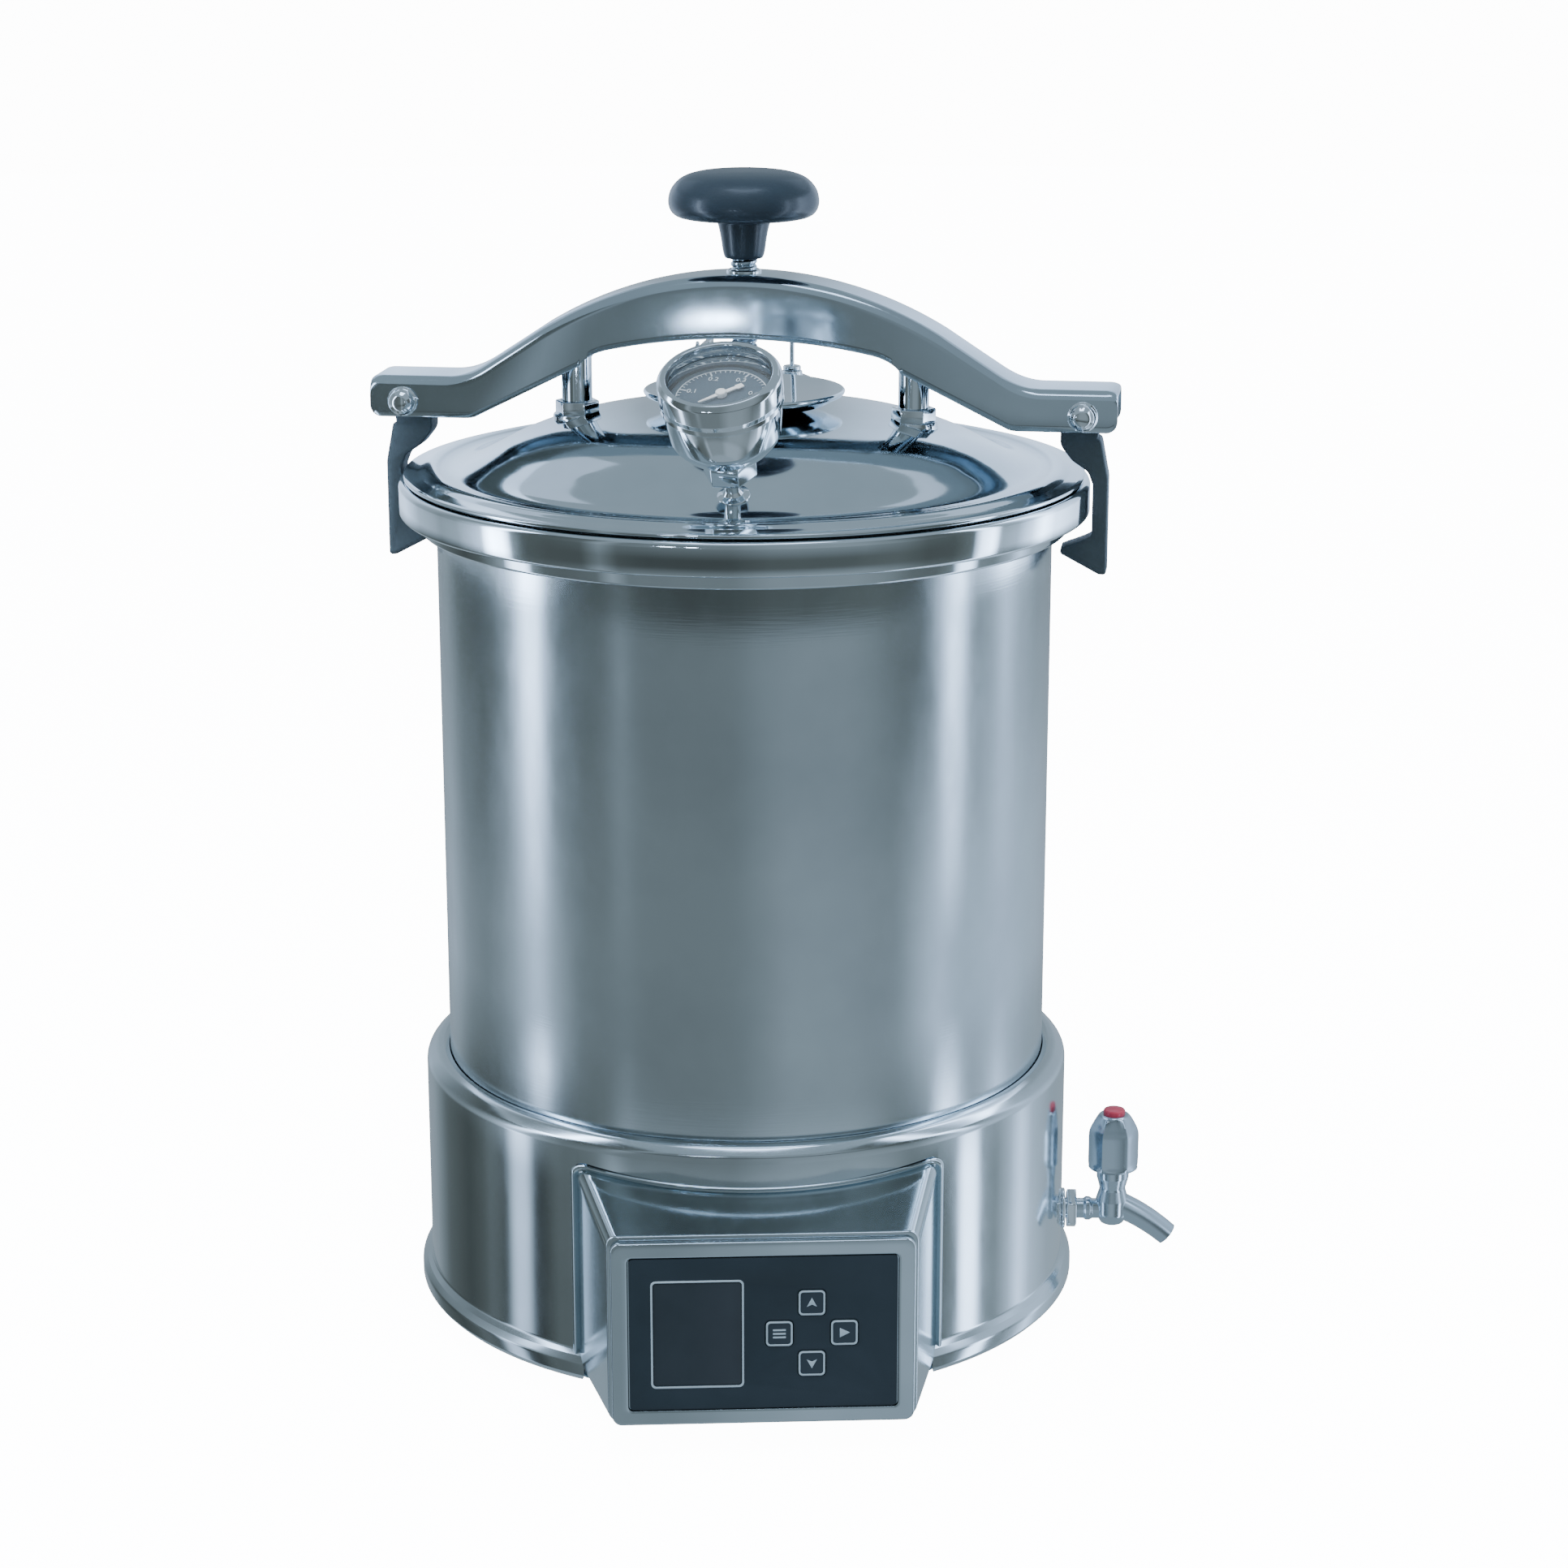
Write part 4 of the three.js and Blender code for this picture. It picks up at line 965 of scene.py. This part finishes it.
# ---------------------------------------------------------------- drain tap
def make_tap():
    turn = Matrix.Rotation(TAP_TURN, 4, "Z")
    axis_z = (low("tap_nut").z + high("tap_nut").z) / 2
    along = turn @ Matrix.Translation((0, 0, axis_z)) @ Matrix.Rotation(math.pi / 2, 4, "Y")
    reach = TAP_R * mm
    lathe("tap_flange", [(5.2, 153.4), (9.8, 153.4, 0.6), (9.8, 155, 0.6), (5.2, 155.4)],
          "chrome", along, 48, "base", closed=True)
    nut = plate("tap_hex_nut", hex_outline(17.2, 5.2), 4.6, "chrome", along @ raised(158.2), 0.5)
    settle(nut, "base", ["tap_nut"])
    at = turn @ Matrix.Translation((reach * MM, 0, 0))
    z = axis_z * mm
    lathe("tap_pipe", [
        (0, 146), (4.9, 146), (4.9, 164, 0.5), (5.8, 165.2, 0.5), (5.8, 167, 0.5), (4.9, 168.4, 0.5),
        (4.9, reach - 2), (0, reach - 2),
    ], "dull_chrome", along, 48, "base", ["tap_body"])
    lathe("tap_neck", [
        (0, z - 7.4), (5.4, z - 7, 2), (8.0, z - 2, 4), (8.0, z + 5, 4), (6.2, z + 11, 3),
        (7.8, z + 17, 1.5), (7.8, 50.4, 0.5), (0, 50.4),
    ], "dull_chrome", at, 64, "base", steps=6)
    line, widths = [], []
    for i in range(13):
        t = i / 12
        bend = 6 * t * (1 - t)
        line.append((2 + 25.0 * t, 0, z + 2.6 - 15.6 * t + bend))
        widths.append(6.4 - 0.7 * t)
    spout = tube("tap_spout", line, widths, "dull_chrome", at, 32)
    settle(spout, "base", ())

    def flutes(angle, height):
        depth = 0.10 * min(1.0, max(0.0, (height - 51) / 3)) * min(1.0, max(0.0, (79 - height) / 6))
        return 1 - depth * abs(math.sin(3 * angle)) ** 0.7

    handle = turned("tap_grip", smooth_curve([
        (0, 51), (10.8, 51), (11.8, 52), (12.1, 54.5), (12.1, 62), (12.0, 69), (10.6, 73), (8.6, 76.6),
        (7.2, 78.2), (5.6, 78.6), (0, 78.6)], 5), "dull_chrome", at, 96, shape=flutes)
    settle(handle, "tap_knob", ["tap_handle"])
    lathe("tap_red_cap", [(0, 78.6), (5.3, 78.6), (5.3, 80.8, 1.1), (0, 81.8)], "red", at, 48,
          "tap_knob", ["tap_cap"], steps=5)


# ---------------------------------------------------------------- lid
POST_X = 78
LID_LINE = [(0, 421.5), (40, 421.2), (60, 419.8), (80, 416.6), (94, 412.6), (106, 407.8), (116, 402.8),
            (124, 399), (130, 396.9), (135, 396), (139, 396.2), (142, 396.9), (146, 396.7), (150, 395.2)]


def lid_height(radius):
    line = smooth_curve(LID_LINE, 6)
    return float(np.interp(radius, [p[0] for p in line], [p[1] for p in line]))


def make_lid():
    outside = smooth_curve(LID_LINE, 7)
    edge = fillet([
        (150, 395.2), (155, 394.4, 2), (156.6, 393.9, 0.7), (156.6, 392.3, 0.7), (143, 392.2, 0.5),
        (139, 393.6, 2), (133, 393.8, 2)], False, 4)[1:]
    inside = [(r - 0.4, z - 2) for r, z in outside if 3 < r < 130][::-1]
    profile = outside + edge + inside + [(0, 419.5)]
    cover = turned("lid_cover", profile, "mirror", segments=240, sharp=50)
    settle(cover, "lid_body", ["lid"])
    lathe("press_plate", [
        (0, 421.9), (26, 421.9, 3), (38, 424.4, 6), (45.6, 428.4, 2), (46.4, 430, 0.8),
        (45.4, DISC_TOP * mm, 0.8), (38, 430.2, 4), (16, 429.4, 4), (9, 430.8, 1), (0, 430.9),
    ], "ring", LID, 160, "lid_body", ["press_disc"], steps=6)
    foot = lid_height(POST_X)
    for name, side in (("left", -1), ("right", 1)):
        at = LID @ Matrix.Translation((side * POST_X * MM, 0, 0))
        lathe(f"post_{name}", [(0, foot - 3), (7, foot - 3), (7, 450, 1.5), (0, 450)], "ring", at, 48,
              "lid_body", [f"guide_post_{name}"], steps=5)
        collar = plate(f"collar_{name}", hex_outline(18, 7.2), 7, "chrome",
                       LID @ Matrix.Translation((side * POST_X * MM, 0, (foot + 3.2) * MM)), 0.7)
        settle(collar, "lid_body", [f"post_collar_{name}"])
        lathe(f"washer_{name}", [
            (7.2, foot - 3), (11.5, foot - 3, 0.5), (11, foot + 0.8, 0.8), (7.2, foot + 0.8),
        ], "chrome", at, 48, "lid_body", closed=True, steps=3)


# ---------------------------------------------------------------- pressure gauge
READING = JOINTS["gauge_reading"]
DIAL_ABOVE_FOOT = 51.8
ACROSS_TURN = math.radians(-4.4)
PRINT_Z = 50.6


def gauge_matrix():
    out = -Vector(READING["axis"]).normalized()
    foot = Vector(READING["pos_m"]) - out * DIAL_ABOVE_FOOT * MM
    across = LID.to_3x3() @ Vector((math.cos(ACROSS_TURN), math.sin(ACROSS_TURN), 0))
    across = (across - out * across.dot(out)).normalized()
    up = out.cross(across)
    turn = Matrix((across, up, out)).transposed().to_4x4()
    return Matrix.Translation(foot) @ turn


def dial_text(words, x, y, size, matrix):
    name = "dial_number_" + words.replace(".", "_")
    curve = bpy.data.curves.new(name, "FONT")
    curve.body = words
    curve.size = size * MM
    curve.align_x = "CENTER"
    curve.align_y = "CENTER"
    curve.extrude = 0.04 * MM
    obj = bpy.data.objects.new(curve.name, curve)
    bpy.context.scene.collection.objects.link(obj)
    bpy.context.view_layer.update()
    graph = bpy.context.evaluated_depsgraph_get()
    mesh = bpy.data.meshes.new_from_object(obj.evaluated_get(graph), depsgraph=graph)
    bpy.data.objects.remove(obj)
    mesh.transform(matrix @ Matrix.Translation((x * MM, y * MM, 50.75 * MM)))
    piece = bpy.data.objects.new(name, mesh)
    bpy.context.scene.collection.objects.link(piece)
    dress(piece, "print")
    settle(piece, "lid_body", ())


def make_gauge():
    g = gauge_matrix()
    lathe("gauge_pipe", [
        (0, -5), (7.5, -5), (7.5, 0.2, 0.6), (4.6, 1.2, 1), (3.6, 3, 1), (3.6, 10.2), (0, 10.2),
    ], "chrome", g, 40, "lid_body", ["gauge_stem"])
    nut = plate("gauge_hex", hex_outline(20.5), 11.5, "chrome", g @ raised(15.9), 1.4)
    settle(nut, "lid_body", ["gauge_nut"])
    lathe("gauge_cup", [
        (0, 21.6), (10.5, 21.6, 1.5), (12.5, 23.2, 2), (18.4, 24.6, 6), (23.6, 31, 9), (25.0, 42, 10),
        (25.3, 54, 0.4), (23.6, 54, 0.4), (23.2, 42, 6), (21.0, 32, 6), (16, 28), (0, 28),
    ], "chrome", g, 120, "lid_body", ["gauge_case"], steps=8)
    lathe("gauge_rim", [
        (25.5, 47.2, 0.4), (26.4, 47.4, 0.6), (26.0, 49.6, 0.8), (26.6, 52, 1.2), (26.6, 59.8, 2.4),
        (24.8, 62.0, 1.4), (22.6, 61.7, 0.8), (21.9, 58.4, 0.4), (22.2, 56.6, 0.2), (25.5, 56.6, 0.2),
    ], "chrome", g, 120, "lid_body", ["gauge_bezel"], closed=True, steps=6)
    lathe("gauge_pane", [(0, 54.5), (24.8, 54.5, 0.3), (24.8, 56.2, 0.3), (0, 56.4)], "glass", g, 96,
          "lid_body", ["gauge_glass"], steps=3)
    lathe("gauge_face", [(0, 49.4), (22.4, 49.4, 0.2), (22.4, 50.5, 0.2), (0, 50.5)], "dial", g, 96,
          "lid_body", ["gauge_dial"], steps=3)
    outer, zero, sweep, marks = 19.6, 221, 262, 40
    for i in range(marks + 1):
        major = i % 8 == 0
        angle = math.radians(zero - sweep * i / marks)
        inner = outer - (3.4 if major else 1.8)
        w = 0.34 if major else 0.17
        tick = [(inner, -w), (outer, -w), (outer, w), (inner, w)]
        c, s = math.cos(angle), math.sin(angle)
        shape = [(x * c - y * s, x * s + y * c) for x, y in tick]
        mark = plate(f"dial_mark_{i + 1}", [shape], 0.1, "print", g @ raised(PRINT_Z))
        settle(mark, "lid_body", ())
        if major:
            words = f"{0.05 * i / 4:.1f}" if i else "0"
            dial_text(words, 13.6 * c, 13.6 * s, 3.8, g)
    scale = arc((0, 0), outer + 0.1, zero - sweep, zero, 72)
    scale += arc((0, 0), outer - 0.35, zero, zero - sweep, 72)
    band = plate("dial_band", [scale], 0.1, "print", g @ raised(PRINT_Z))
    settle(band, "lid_body", ())
    turn = math.radians(zero)
    c, s = math.cos(turn), math.sin(turn)
    hand = [(10.9, 0.35), (10.9, -0.35), (0, -1.1), (-7.0, -0.9), (-7.6, -1.5), (-10.6, -1.3), (-10.6, 1.3),
            (-7.6, 1.5), (-7.0, 0.9), (0, 1.1)]
    shape = [(x * c - y * s, x * s + y * c) for x, y in hand]
    needle = plate("gauge_pointer", [shape], 0.7, "needle", g @ raised(51.9), 0.15)
    settle(needle, "gauge_hand", ["gauge_needle"])
    lathe("gauge_hub", [(0, 50.9), (2.5, 50.9, 0.3), (2.3, 53.2, 0.6), (0, 53.4)], "needle", g, 32,
          "gauge_hand", ())


# ---------------------------------------------------------------- valves
VENT_PIVOT_RISE = 21


def standing_on_lid(place):
    """The lid's own directions, moved to stand at that place."""
    return LID @ Matrix.Translation(LID.inverted() @ Vector((place.x, place.y, 0)))


def make_safety_valve():
    centre = middle("safety_valve_body")
    base = lid_height(math.hypot(centre.x, centre.y) * mm)
    at = standing_on_lid(centre)
    hexagon = plate("safety_hex", hex_outline(15.4), 8, "chrome", at @ raised(base + 3.9), 0.8)
    settle(hexagon, "lid_body", ["safety_valve_body"])
    lathe("safety_barrel", [(1.6, base + 3), (5, base + 3), (5, base + 10.4, 0.8), (1.6, base + 10.4)],
          "chrome", at, 48, "lid_body", closed=True)
    lathe("safety_rod", [
        (0, base + 4), (1.1, base + 4), (1.1, base + 10.6), (4.3, base + 10.6, 0.4),
        (4.3, base + 12.6, 0.8), (1.1, base + 13), (1.1, base + 31.6), (0, base + 31.8),
    ], "chrome", at, 40, "safety_stem", ["safety_valve_stem"])
    turns = np.linspace(0, 2 * math.pi, 41)[:-1]
    loop = [(5.5 * math.cos(a), 0, base + 36.9 + 5.5 * math.sin(a)) for a in turns]
    ring = tube("safety_ring", loop, 1.05, "chrome", at, 14, True)
    settle(ring, "safety_stem", ())


def make_vent_valve():
    pivot = Vector(JOINTS["vent_lever_turn"]["pos_m"])
    base = pivot.z * mm - VENT_PIVOT_RISE
    at = standing_on_lid(pivot)
    stand = Matrix.Rotation(math.pi / 2, 4, "Z")
    tilt = Matrix.Rotation(math.pi / 2, 4, "X")
    hexagon = plate("vent_hex", hex_outline(13.6), 8, "chrome", at @ raised(base + 3.9), 0.7)
    settle(hexagon, "lid_body", ["vent_valve_body"])
    lathe("vent_barrel", [(0, base + 6), (5.6, base + 6), (5.6, base + 16.6, 0.8), (0, base + 17)],
          "chrome", at, 48, "lid_body")
    bore = [(0, y, base + 12) for y in (4, 9, 13)]
    settle(tube("vent_outlet", bore, [2.6, 2.6, 2.2], "chrome", at, 24), "lid_body", ())
    cheek = fillet([(-2.2, base + 16.4), (2.2, base + 16.4), (2.2, base + 24, 1.8), (-2.2, base + 24, 1.8)],
                   True, 5)
    for name, side in (("left", -1), ("right", 1)):
        place = at @ Matrix.Translation((side * 2.7 * MM, 0, 0)) @ stand @ tilt
        piece = plate(f"vent_cheek_{name}", [cheek], 1.3, "chrome", place, 0.2)
        settle(piece, "lid_body", ())
    lever = fillet([(-2, base + 19.5, 1.2), (24, base + 19.7, 1.6), (24, base + 22.7, 1.4),
                    (-2, base + 22.9, 1.6)], True, 4)
    arm = plate("vent_arm_plate", [lever], 2.6, "chrome", at @ stand @ tilt, 0.4)
    settle(arm, "vent_arm", ["vent_lever"])
    lathe("vent_pin", [(0, -3.9), (1.1, -3.9, 0.3), (1.1, 3.9, 0.3), (0, 3.9)], "dull_chrome",
          at @ raised(base + VENT_PIVOT_RISE) @ Matrix.Rotation(math.pi / 2, 4, "Y"), 24, "vent_arm", steps=3)


# ---------------------------------------------------------------- bridge, hooks and screw
ARCH_R = 178.7
ARCH_HALF = 92
END_X = 171.5
END_TOP = 435.5
END_BOTTOM = 416.8
HOOK_T = 14
HOOK_HEAD_R = 8
SCREW_R = 6.0
TOP_TRIM = 0.44     # the rounding of the end is this much flatter on top, so the hooks still clear it


def quadratic(a, b, c, steps=10):
    out = []
    for i in range(steps + 1):
        t = i / steps
        out.append(tuple((1 - t) ** 2 * a[k] + 2 * t * (1 - t) * b[k] + t * t * c[k] for k in (0, 1)))
    return out


def bridge_lines():
    """Heights of the right half's top and bottom edges over x."""
    centre = BRIDGE_TOP * mm - ARCH_R
    top = [(x, centre + math.sqrt(ARCH_R ** 2 - x * x)) for x in np.linspace(0, ARCH_HALF, 40)]
    top += [(105, 450.0), (118, 441.6)] + quadratic((118, 441.6), (127.5, END_TOP), (137, END_TOP))[1:]
    top += [(END_X, END_TOP)]
    bottom = quadratic((0, 455.9), (32, 455.6), (60, 449.6))
    bottom += quadratic((60, 449.6), (70, 447.5), (74, 441.5))[1:]
    bottom += quadratic((121, 418.2), (123, END_BOTTOM), (127, END_BOTTOM), 4) + [(END_X, END_BOTTOM)]
    return top, bottom


def make_bridge():
    top, bottom = bridge_lines()
    width, wall, corner, end_corner = 18.0, 2.5, 6.0, 5.0
    stations = np.unique(np.concatenate([
        np.linspace(0, 60, 31), np.linspace(60, 76, 17), np.linspace(76, 137, 40), np.linspace(137, 166, 8),
        END_X - end_corner * (1 - np.sin(np.linspace(0, math.pi / 2, 9)))]))
    stations = np.concatenate([-stations[:0:-1], stations])
    rings = []
    for x in stations:
        far = abs(x)
        zt = float(np.interp(far, [p[0] for p in top], [p[1] for p in top]))
        zb = float(np.interp(far, [p[0] for p in bottom], [p[1] for p in bottom]))
        inside = zt - wall
        if far > END_X - end_corner:
            trim = end_corner - math.sqrt(max(end_corner ** 2 - (far - END_X + end_corner) ** 2, 0))
            zb += trim
            zt -= trim * TOP_TRIM
        hollow, inner_r = width - wall, corner - wall
        outer = [(-width, zb + 0.4), (-width, zb + 3)]
        outer += arc((-width + corner, zt - corner), corner, 180, 90, 8)
        outer += arc((width - corner, zt - corner), corner, 90, 0, 8)
        outer += [(width, zb + 3), (width, zb + 0.4)]
        inner = [(width - 0.4, zb), (hollow + 0.4, zb), (hollow, zb + 0.4), (hollow, zb + 3)]
        inner += arc((hollow - inner_r, inside - inner_r), inner_r, 0, 90, 5)
        inner += arc((-hollow + inner_r, inside - inner_r), inner_r, 90, 180, 5)
        inner += [(-hollow, zb + 3), (-hollow, zb + 0.4), (-hollow - 0.4, zb), (-width + 0.4, zb)]
        rings.append([LID @ (Vector((x, y, z)) * MM) for y, z in outer + inner])
    arch = loft("bridge_channel", rings, "bridge", True, True, 50)
    settle(arch, "bridge_body", ["bridge"])
    zt = BRIDGE_TOP * mm
    lathe("bridge_bush", [
        (6.3, 460), (12, 460, 0.6), (12, zt - 3.2), (8, zt - 3.2), (8, zt + 0.8, 0.5),
        (7, zt + 1.4, 0.4), (6.3, zt + 1.4),
    ], "chrome", LID, 64, "bridge_body", ["screw_bush"], closed=True)
    for name, side in (("left", -1), ("right", 1)):
        at = lying_front(side * PIN_X * mm, PIN_Z * mm)
        lathe(f"pivot_{name}", [
            (0, -21.6), (5, -21.6, 1.5), (6.4, -19.8, 1), (6.4, -18.3, 0.3), (3.9, -18.3),
            (3.9, 19.6, 0.4), (0, 19.6),
        ], "chrome", at, 48, "bridge_body", [f"hinge_pin_{name}"])
        lathe(f"dome_nut_{name}", [
            (0, 18.2), (6.9, 18.2, 0.3), (6.9, 19.2, 0.4), (5.9, 19.8, 0.3), (6.0, 21.4, 0.5),
            (5.4, 23.6, 2), (3.4, 25.6, 2.5), (0, 26.2),
        ], "chrome", at, 64, "bridge_body", [f"acorn_nut_{name}"], steps=6)


def make_hooks():
    x = PIN_X * mm
    outline = arc((x, PIN_Z * mm), HOOK_HEAD_R, 180, 0, 24)
    outline += fillet([
        (x + 8.0, 412, 3), (167.5, 394, 10), (167.5, 349.6, 1.8), (164, 349.8, 1.6), (146.2, 359.2, 1.6),
        (146.6, 361.8, 0.8), (156.4, 365.6, 2), (160.5, 367.6, 2.4), (160.5, 391.5, 5),
        (158.2, 397.2, 5), (151.0, 402.0, 8), (145.4, 409, 7), (145.6, 419, 3)], True, 6)
    for name, side in (("right", 1), ("left", -1)):
        spin = Matrix() if side > 0 else Matrix.Rotation(math.pi, 4, "Z")
        hook = plate(f"claw_{name}", [outline], HOOK_T, "hook", LID @ spin @ upright(), 1.0)
        settle(hook, f"{name}_hook", [f"hook_{name}"])


def make_screw():
    pitch, depth, rows, sides = 3.0, 0.9, 156, 48
    bottom, top = 434.0, KNOB_BOTTOM * mm + 2
    rings = []
    for k in range(rows + 1):
        z = bottom + (top - bottom) * k / rows
        ring = []
        for i in range(sides):
            share = (z / pitch - i / sides) % 1.0
            r = SCREW_R - depth * max(0.0, 1 - abs(share - 0.5) * 3.2)
            a = 2 * math.pi * i / sides
            ring.append(LID @ (Vector((r * math.cos(a), r * math.sin(a), z)) * MM))
        rings.append(ring)
    thread = loft("screw_thread", rings, "dull_chrome", True, True, 60)
    settle(thread, "hand_screw", ["spindle"])
    lathe("screw_tip", [(0, 431.2), (4.2, 431.2, 1), (5.6, 433.4, 0.5), (5.2, 434.2), (0, 434.2)],
          "dull_chrome", LID, 48, "hand_screw", ())
    b = KNOB_BOTTOM * mm
    line = smooth_curve([
        (7.4, b), (8.6, b + 0.5), (9.5, b + 3), (10.4, b + 9), (11.5, 504.5), (12.6, 507.4),
        (15.5, 508.8), (22, 508.5), (28.5, 508.8), (32.2, 510.6), (34.0, 514), (34.0, 518),
        (32.4, 522.2), (28.4, 526.2), (22, 528.6), (12, 529.8), (0, KNOB_TOP * mm)], 5)
    grip = turned("knob_grip", [(6.2, b), *line], "knob", LID, 144)
    settle(grip, "hand_screw", ["knob"])


# ---------------------------------------------------------------- everything
make_hood()
make_shell()
make_inlet()
make_feet()
make_bezel()
make_panel()
make_vessel()
make_inside()
make_tap()
make_lid()
make_gauge()
make_safety_valve()
make_vent_valve()
make_bridge()
make_hooks()
make_screw()

CARRIED = {
    "base_plate": "inner", "display_module": "black", "circuit_board": "board",
    "heater_relay": "black", "overheat_cutout": "black", "temperature_probe": "inner",
    "water_level_probe": "inner", "drain_pipe": "inner",
}
for node, mat in CARRIED.items():
    mesh = frame["nodes"][node].data
    mesh.materials.clear()
    mesh.materials.append(MATS[mat])
